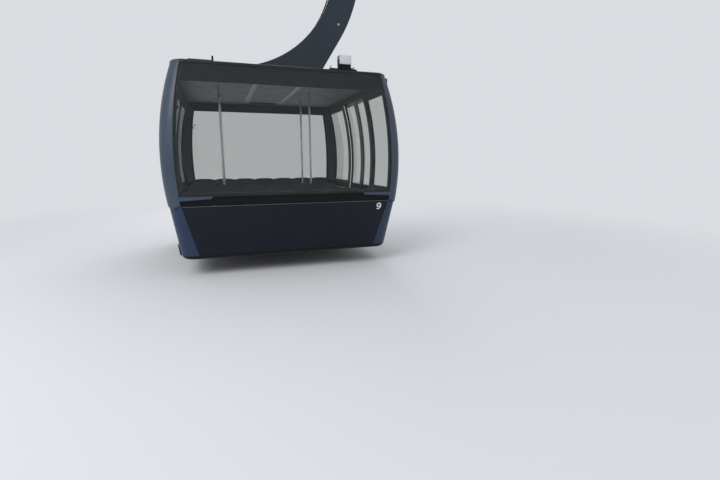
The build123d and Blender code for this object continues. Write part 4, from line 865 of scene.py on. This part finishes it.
def seal_door_panes():
    """A rubber gasket round each door pane."""
    gasket_radius = 0.003
    sink = 0.0032
    rise = along(LEAF_PANE_BOTTOM + gasket_radius, LEAF_PANE_TOP - gasket_radius, 20)
    near = LEAF_SEAL + LEAF_BAND + gasket_radius
    far = LEAF_SEAL + LEAF_WIDTH - LEAF_BAND - gasket_radius
    for way, body in ((1, "door_front"), (-1, "door_rear")):
        inner = [(way * near, side_reach(h) + LEAF_PROUD - sink, BASE + h) for h in rise]
        outer = [(way * far, side_reach(h) + LEAF_PROUD - sink, BASE + h) for h in reversed(rise)]
        gasket = bead_piece(body.replace("door_", "door_gasket_"), [inner + outer], gasket_radius)
        place_piece(gasket, "black_rubber", body)


def fit_release_knob():
    """The red release knob on its steel plate, on the wall beside the doorway."""
    x, height = 0.95, 0.600
    knob_outward = 0.002
    wall = lower_side(height)
    way = (0, 1, -0.12)
    rows = [((x, wall, BASE + height), way)]
    plate = fasteners("release_plate", rows, sides=32, across=0.030, height=0.003, washer=1.0)
    place_piece(plate, "machined_steel", "cabin")
    rows = [((x, wall + knob_outward, BASE + height), way)]
    knob = fasteners("release_knob", rows, sides=28, across=0.015, height=0.009)
    place_piece(knob, "release_red", "cabin")


def cover_roof_box():
    """The control box's pale front cover with its screws, and the latches on its flanks."""
    cover_thickness = 0.010
    cover_height = 0.122
    cover_forward = 0.002
    cover_margin = 0.002
    cover_drop = 0.001
    screw_y = 0.075
    screw_rise = 0.047
    latch_size = (0.016, 0.008, 0.034)
    latch_inset = 0.032
    latch_drop = 0.040
    latch_outward = 0.002
    low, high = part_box("roof_box")
    middle_x = high.x + cover_forward
    middle_y = (low.y + high.y) / 2
    middle_z = high.z - cover_drop - cover_height / 2
    bm = bmesh.new()
    cover_size = (cover_thickness, high.y - low.y - 2 * cover_margin, cover_height)
    bevelled_block(bm, (middle_x, middle_y, middle_z), cover_size, bevel=0.003)
    place_piece(mesh_piece(bm, "box_cover"), "box_paint", "cabin")
    cover_face = middle_x + cover_thickness / 2
    rows = [
        ((cover_face, middle_y + side * screw_y, middle_z + lift * screw_rise), (1, 0, 0))
        for side in (-1, 1)
        for lift in (-1, 1)
    ]
    screws = fasteners("box_cover_screws", rows, sides=18, across=0.005, height=0.002, washer=1.0)
    place_piece(screws, "machined_steel", "cabin")
    bm = bmesh.new()
    for y in (low.y - latch_outward, high.y + latch_outward):
        for x in (low.x + latch_inset, high.x - latch_inset):
            bevelled_block(bm, (x, y, high.z - latch_drop), latch_size, bevel=0.002)
    place_piece(mesh_piece(bm, "box_latches"), "machined_steel", "cabin")


def stand_roof_box():
    """The control box's plate and stepped plinth, with two lifting eyes and four bolts."""
    plinth_steps = (
        # middle above the plate, height, how much wider than the box
        (0.009, 0.018, 0.034),
        (0.022, 0.010, 0.006),
        (0.041, 0.028, -0.008),
    )
    eye_x, eye_y = 0.075, 0.175
    eye_radius = 0.022
    bolt_inset_x, bolt_inset_y = 0.020, 0.022
    low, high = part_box("roof_box")
    box_middle = (low + high) / 2
    base_low, base_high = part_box("roof_box_base")
    base_middle = (base_low + base_high) / 2
    plate_top = base_low.z + BOX_PLATE
    bm = bmesh.new()
    plate_size = (base_high.x - base_low.x, base_high.y - base_low.y, BOX_PLATE)
    bevelled_block(bm, (base_middle.x, base_middle.y, base_low.z + BOX_PLATE / 2), plate_size, bevel=0.003)
    for rise, tall, margin in plinth_steps:
        size = (high.x - low.x + margin, high.y - low.y + margin, tall)
        bevelled_block(bm, (box_middle.x, box_middle.y, plate_top + rise), size, bevel=0.002)
    base = mesh_piece(bm, "box_base_plate")
    place_piece(base, "black_trim", "cabin")
    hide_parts("roof_box_base")
    rings = []
    for side in (-1, 1):
        centre = (base_middle.x + eye_x, base_middle.y + side * eye_y, plate_top + eye_radius)
        rings.append(ring(centre, eye_radius, 32))
    eyes = bead_piece("box_eyes", rings, radius=0.006)
    place_piece(eyes, "machined_steel", "cabin")
    rows = [
        ((x, y, plate_top), (0, 0, 1))
        for x in (base_low.x + bolt_inset_x, base_high.x - bolt_inset_x)
        for y in (base_low.y + bolt_inset_y, base_high.y - bolt_inset_y)
    ]
    bolts = fasteners("box_plate_bolts", rows, across=0.007, height=0.006)
    place_piece(bolts, "machined_steel", "cabin")


def vent_ceiling():
    """Two slatted air grilles in the ceiling."""
    grille_x = 1.50
    half_length, half_width = 0.060, 0.262
    rim, slat = 0.012, 0.005
    slat_length = 0.112
    slat_reach = 0.240
    thickness = 0.008
    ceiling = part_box("ceiling")[0].z
    bm = bmesh.new()
    for middle in (-grille_x, grille_x):
        bars = [(middle, y, 2 * half_length, rim) for y in (-half_width, half_width)]
        bars += [(middle + way * half_length, 0.0, rim, 2 * half_width) for way in (-1, 1)]
        bars += [(middle, y, slat_length, slat) for y in along(-slat_reach, slat_reach, 17)]
        for x, y, size_x, size_y in bars:
            place = (x, y, ceiling - thickness / 2)
            bevelled_block(bm, place, (size_x, size_y, thickness), bevel=0.0012, segments=1)
    place_piece(mesh_piece(bm, "ceiling_grilles"), "black_trim", "cabin")


def seat_point(run, across):
    """A seat shell's point, forward of its back, sideways and up. Run goes from front edge to top."""
    flat = 0.52
    bend = 0.16
    bend_radius = 0.075
    dish = 0.016
    front_roll = 0.030
    front_roll_share = 0.14
    lean = 0.055
    hollow = 0.012
    top_drop = 0.010
    wing_forward = 0.028
    wing_rise = 0.018
    shoulder = 0.9
    shoulder_drop = 0.022
    waist = 0.6
    waist_taper = 0.05
    if run < flat:
        share = run / flat
        forward = between(SEAT_DEPTH, bend_radius, share)
        up = -dish * sin(pi * share) - front_roll * max(0.0, 1 - share / front_roll_share) ** 2
    elif run < flat + bend:
        turn = (run - flat) / bend * (pi / 2)
        forward = bend_radius * (1 - sin(turn))
        up = bend_radius * (1 - cos(turn))
    else:
        share = (run - flat - bend) / (1 - flat - bend)
        forward = -lean * share - hollow * sin(pi * share)
        up = between(bend_radius, SEAT_BACK_RISE - top_drop, share)
    wing = abs(across) ** 4
    if run > flat:
        forward += wing_forward * wing
    if run <= flat + bend:
        up += wing_rise * wing
    up -= shoulder_drop * wing * max(0.0, (run - shoulder) / (1 - shoulder))
    half_width = (SEAT_PITCH - SEAT_GAP) / 2 * (1 - waist_taper * max(0.0, run - waist))
    return forward, across * half_width, up


def mould_seats():
    """Seat shells with a dished seat, wings and a rolled front edge, in place of the plain rows."""
    wall = 0.012
    rows = (
        # node, seats, way that the row faces
        ("end_seats_front", 7, -1),
        ("end_seats_rear", 7, 1),
        ("inner_seats_front", 6, 1),
        ("inner_seats_rear", 6, -1),
    )
    for node, seats, way in rows:
        low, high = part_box(node)
        seat_z = high.z - SEAT_BACK_RISE - wall
        back_x = (high.x - SEAT_DEPTH) if way > 0 else (low.x + SEAT_DEPTH)
        bm = bmesh.new()
        for seat in range(seats):
            middle = low.y + (seat + 0.5) * SEAT_PITCH - SEAT_GAP / 2
            made = bmesh.ops.create_grid(bm, x_segments=22, y_segments=12, size=0.5)
            for vert in made["verts"]:
                forward, sideways, up = seat_point(vert.co.x + 0.5, vert.co.y * 2)
                vert.co = (back_x + way * forward, middle + sideways, seat_z + up)
        shell = mesh_piece(bm, "moulded_" + node, smooth_angle=60.0)
        thicken = shell.modifiers.new("wall", "SOLIDIFY")
        thicken.thickness = wall
        thicken.offset = 0.0
        soften = shell.modifiers.new("round", "SUBSURF")
        soften.levels = 1
        soften.render_levels = 1
        place_piece(shell, "seat_shell", "cabin")
        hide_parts(node)


def lay_stage():
    """A plain pale floor under the cabin, which fades out far from it."""
    bm = bmesh.new()
    bmesh.ops.create_grid(bm, x_segments=1, y_segments=1, size=FLOOR_REACH)
    bmesh.ops.translate(bm, verts=bm.verts, vec=(0, 0, BASE - FLOOR_BELOW_BASE))
    mesh = bpy.data.meshes.new("stage_floor")
    bm.to_mesh(mesh)
    bm.free()
    material, shader = new_material("stage_floor", base_color=(0.86, 0.87, 0.89, 1.0), roughness=0.9)
    tree = material.node_tree
    distance = tree.nodes.new("ShaderNodeVectorMath")
    distance.operation = "LENGTH"
    tree.links.new(object_coords(tree, (1.0, 1.0, 0.0)), distance.inputs[0])
    fade = map_range(tree, distance.outputs["Value"], (3.0, 12.0), (1.0, 0.0), "SMOOTHERSTEP")
    tree.links.new(fade, shader.inputs["Alpha"])
    mesh.materials.append(material)
    floor = add_object("stage_floor", mesh)


def light_world():
    """A pale sky that lights the cabin, and a backdrop that the camera, gloss and glass show instead."""
    world = bpy.data.worlds.new("studio")
    world.use_nodes = True
    tree = world.node_tree
    sky = tree.nodes["Background"]
    sky.inputs["Color"].default_value = (0.86, 0.89, 0.93, 1.0)
    sky.inputs["Strength"].default_value = 0.55
    backdrop = tree.nodes.new("ShaderNodeBackground")
    backdrop.inputs["Color"].default_value = (0.70, 0.72, 0.75, 1.0)
    rays = tree.nodes.new("ShaderNodeLightPath")
    seen = rays.outputs["Is Camera Ray"]
    for kind in ("Is Glossy Ray", "Is Transmission Ray"):
        either = tree.nodes.new("ShaderNodeMath")
        either.operation = "MAXIMUM"
        tree.links.new(seen, either.inputs[0])
        tree.links.new(rays.outputs[kind], either.inputs[1])
        seen = either.outputs["Value"]
    mix = tree.nodes.new("ShaderNodeMixShader")
    tree.links.new(seen, mix.inputs[0])
    tree.links.new(sky.outputs["Background"], mix.inputs[1])
    tree.links.new(backdrop.outputs["Background"], mix.inputs[2])
    tree.links.new(mix.outputs["Shader"], tree.nodes["World Output"].inputs["Surface"])
    bpy.context.scene.world = world


def hang_lamps():
    """Three soft square lamps that face the cabin's middle."""
    lamp_side = 6.0
    middle = Vector((0.0, 0.0, BASE + 1.4))
    lamps = (
        # name, place, power in watts
        ("key", (9.0, -7.0, BASE + 8.0), 700.0),
        ("fill", (8.0, 8.0, BASE + 4.0), 40.0),
        ("back", (-9.0, 2.0, BASE + 7.0), 400.0),
    )
    for name, place, power in lamps:
        lamp = bpy.data.lights.new(name, "AREA")
        lamp.shape = "SQUARE"
        lamp.size = lamp_side
        lamp.energy = power
        holder = add_object(name, lamp)
        holder.location = place
        holder.rotation_euler = (middle - Vector(place)).to_track_quat("-Z", "Y").to_euler()


def place_camera():
    """The camera, at the photograph's place, heading and pitch."""
    camera = bpy.data.cameras.new("camera")
    camera.lens = CAMERA_LENS
    camera.sensor_width = 36.0
    camera.clip_end = 500.0
    holder = add_object("camera", camera)
    holder.location = (*CAMERA_PLACE, BASE + CAMERA_ABOVE_BASE)
    pitch = radians(CAMERA_PITCH)
    ahead = Vector((CAMERA_HEADING[0] * cos(pitch), CAMERA_HEADING[1] * cos(pitch), -sin(pitch)))
    holder.rotation_euler = ahead.to_track_quat("-Z", "Y").to_euler()
    bpy.context.scene.camera = holder


finish_solids()
glaze_windows()
bead_windows()
seal_pillar_feet()
number_ends()
line_wheels()
bolt_wheels()
bolt_carriage()
cap_cross_tubes()
dress_grip()
dress_hanger()
plate_buffers()
paint_belt_highlight()
screw_trims()
stay_windows()
seal_door_panes()
fit_release_knob()
cover_roof_box()
stand_roof_box()
vent_ceiling()
mould_seats()
lay_stage()
light_world()
hang_lamps()
place_camera()
bpy.context.scene.view_settings.view_transform = "Standard"
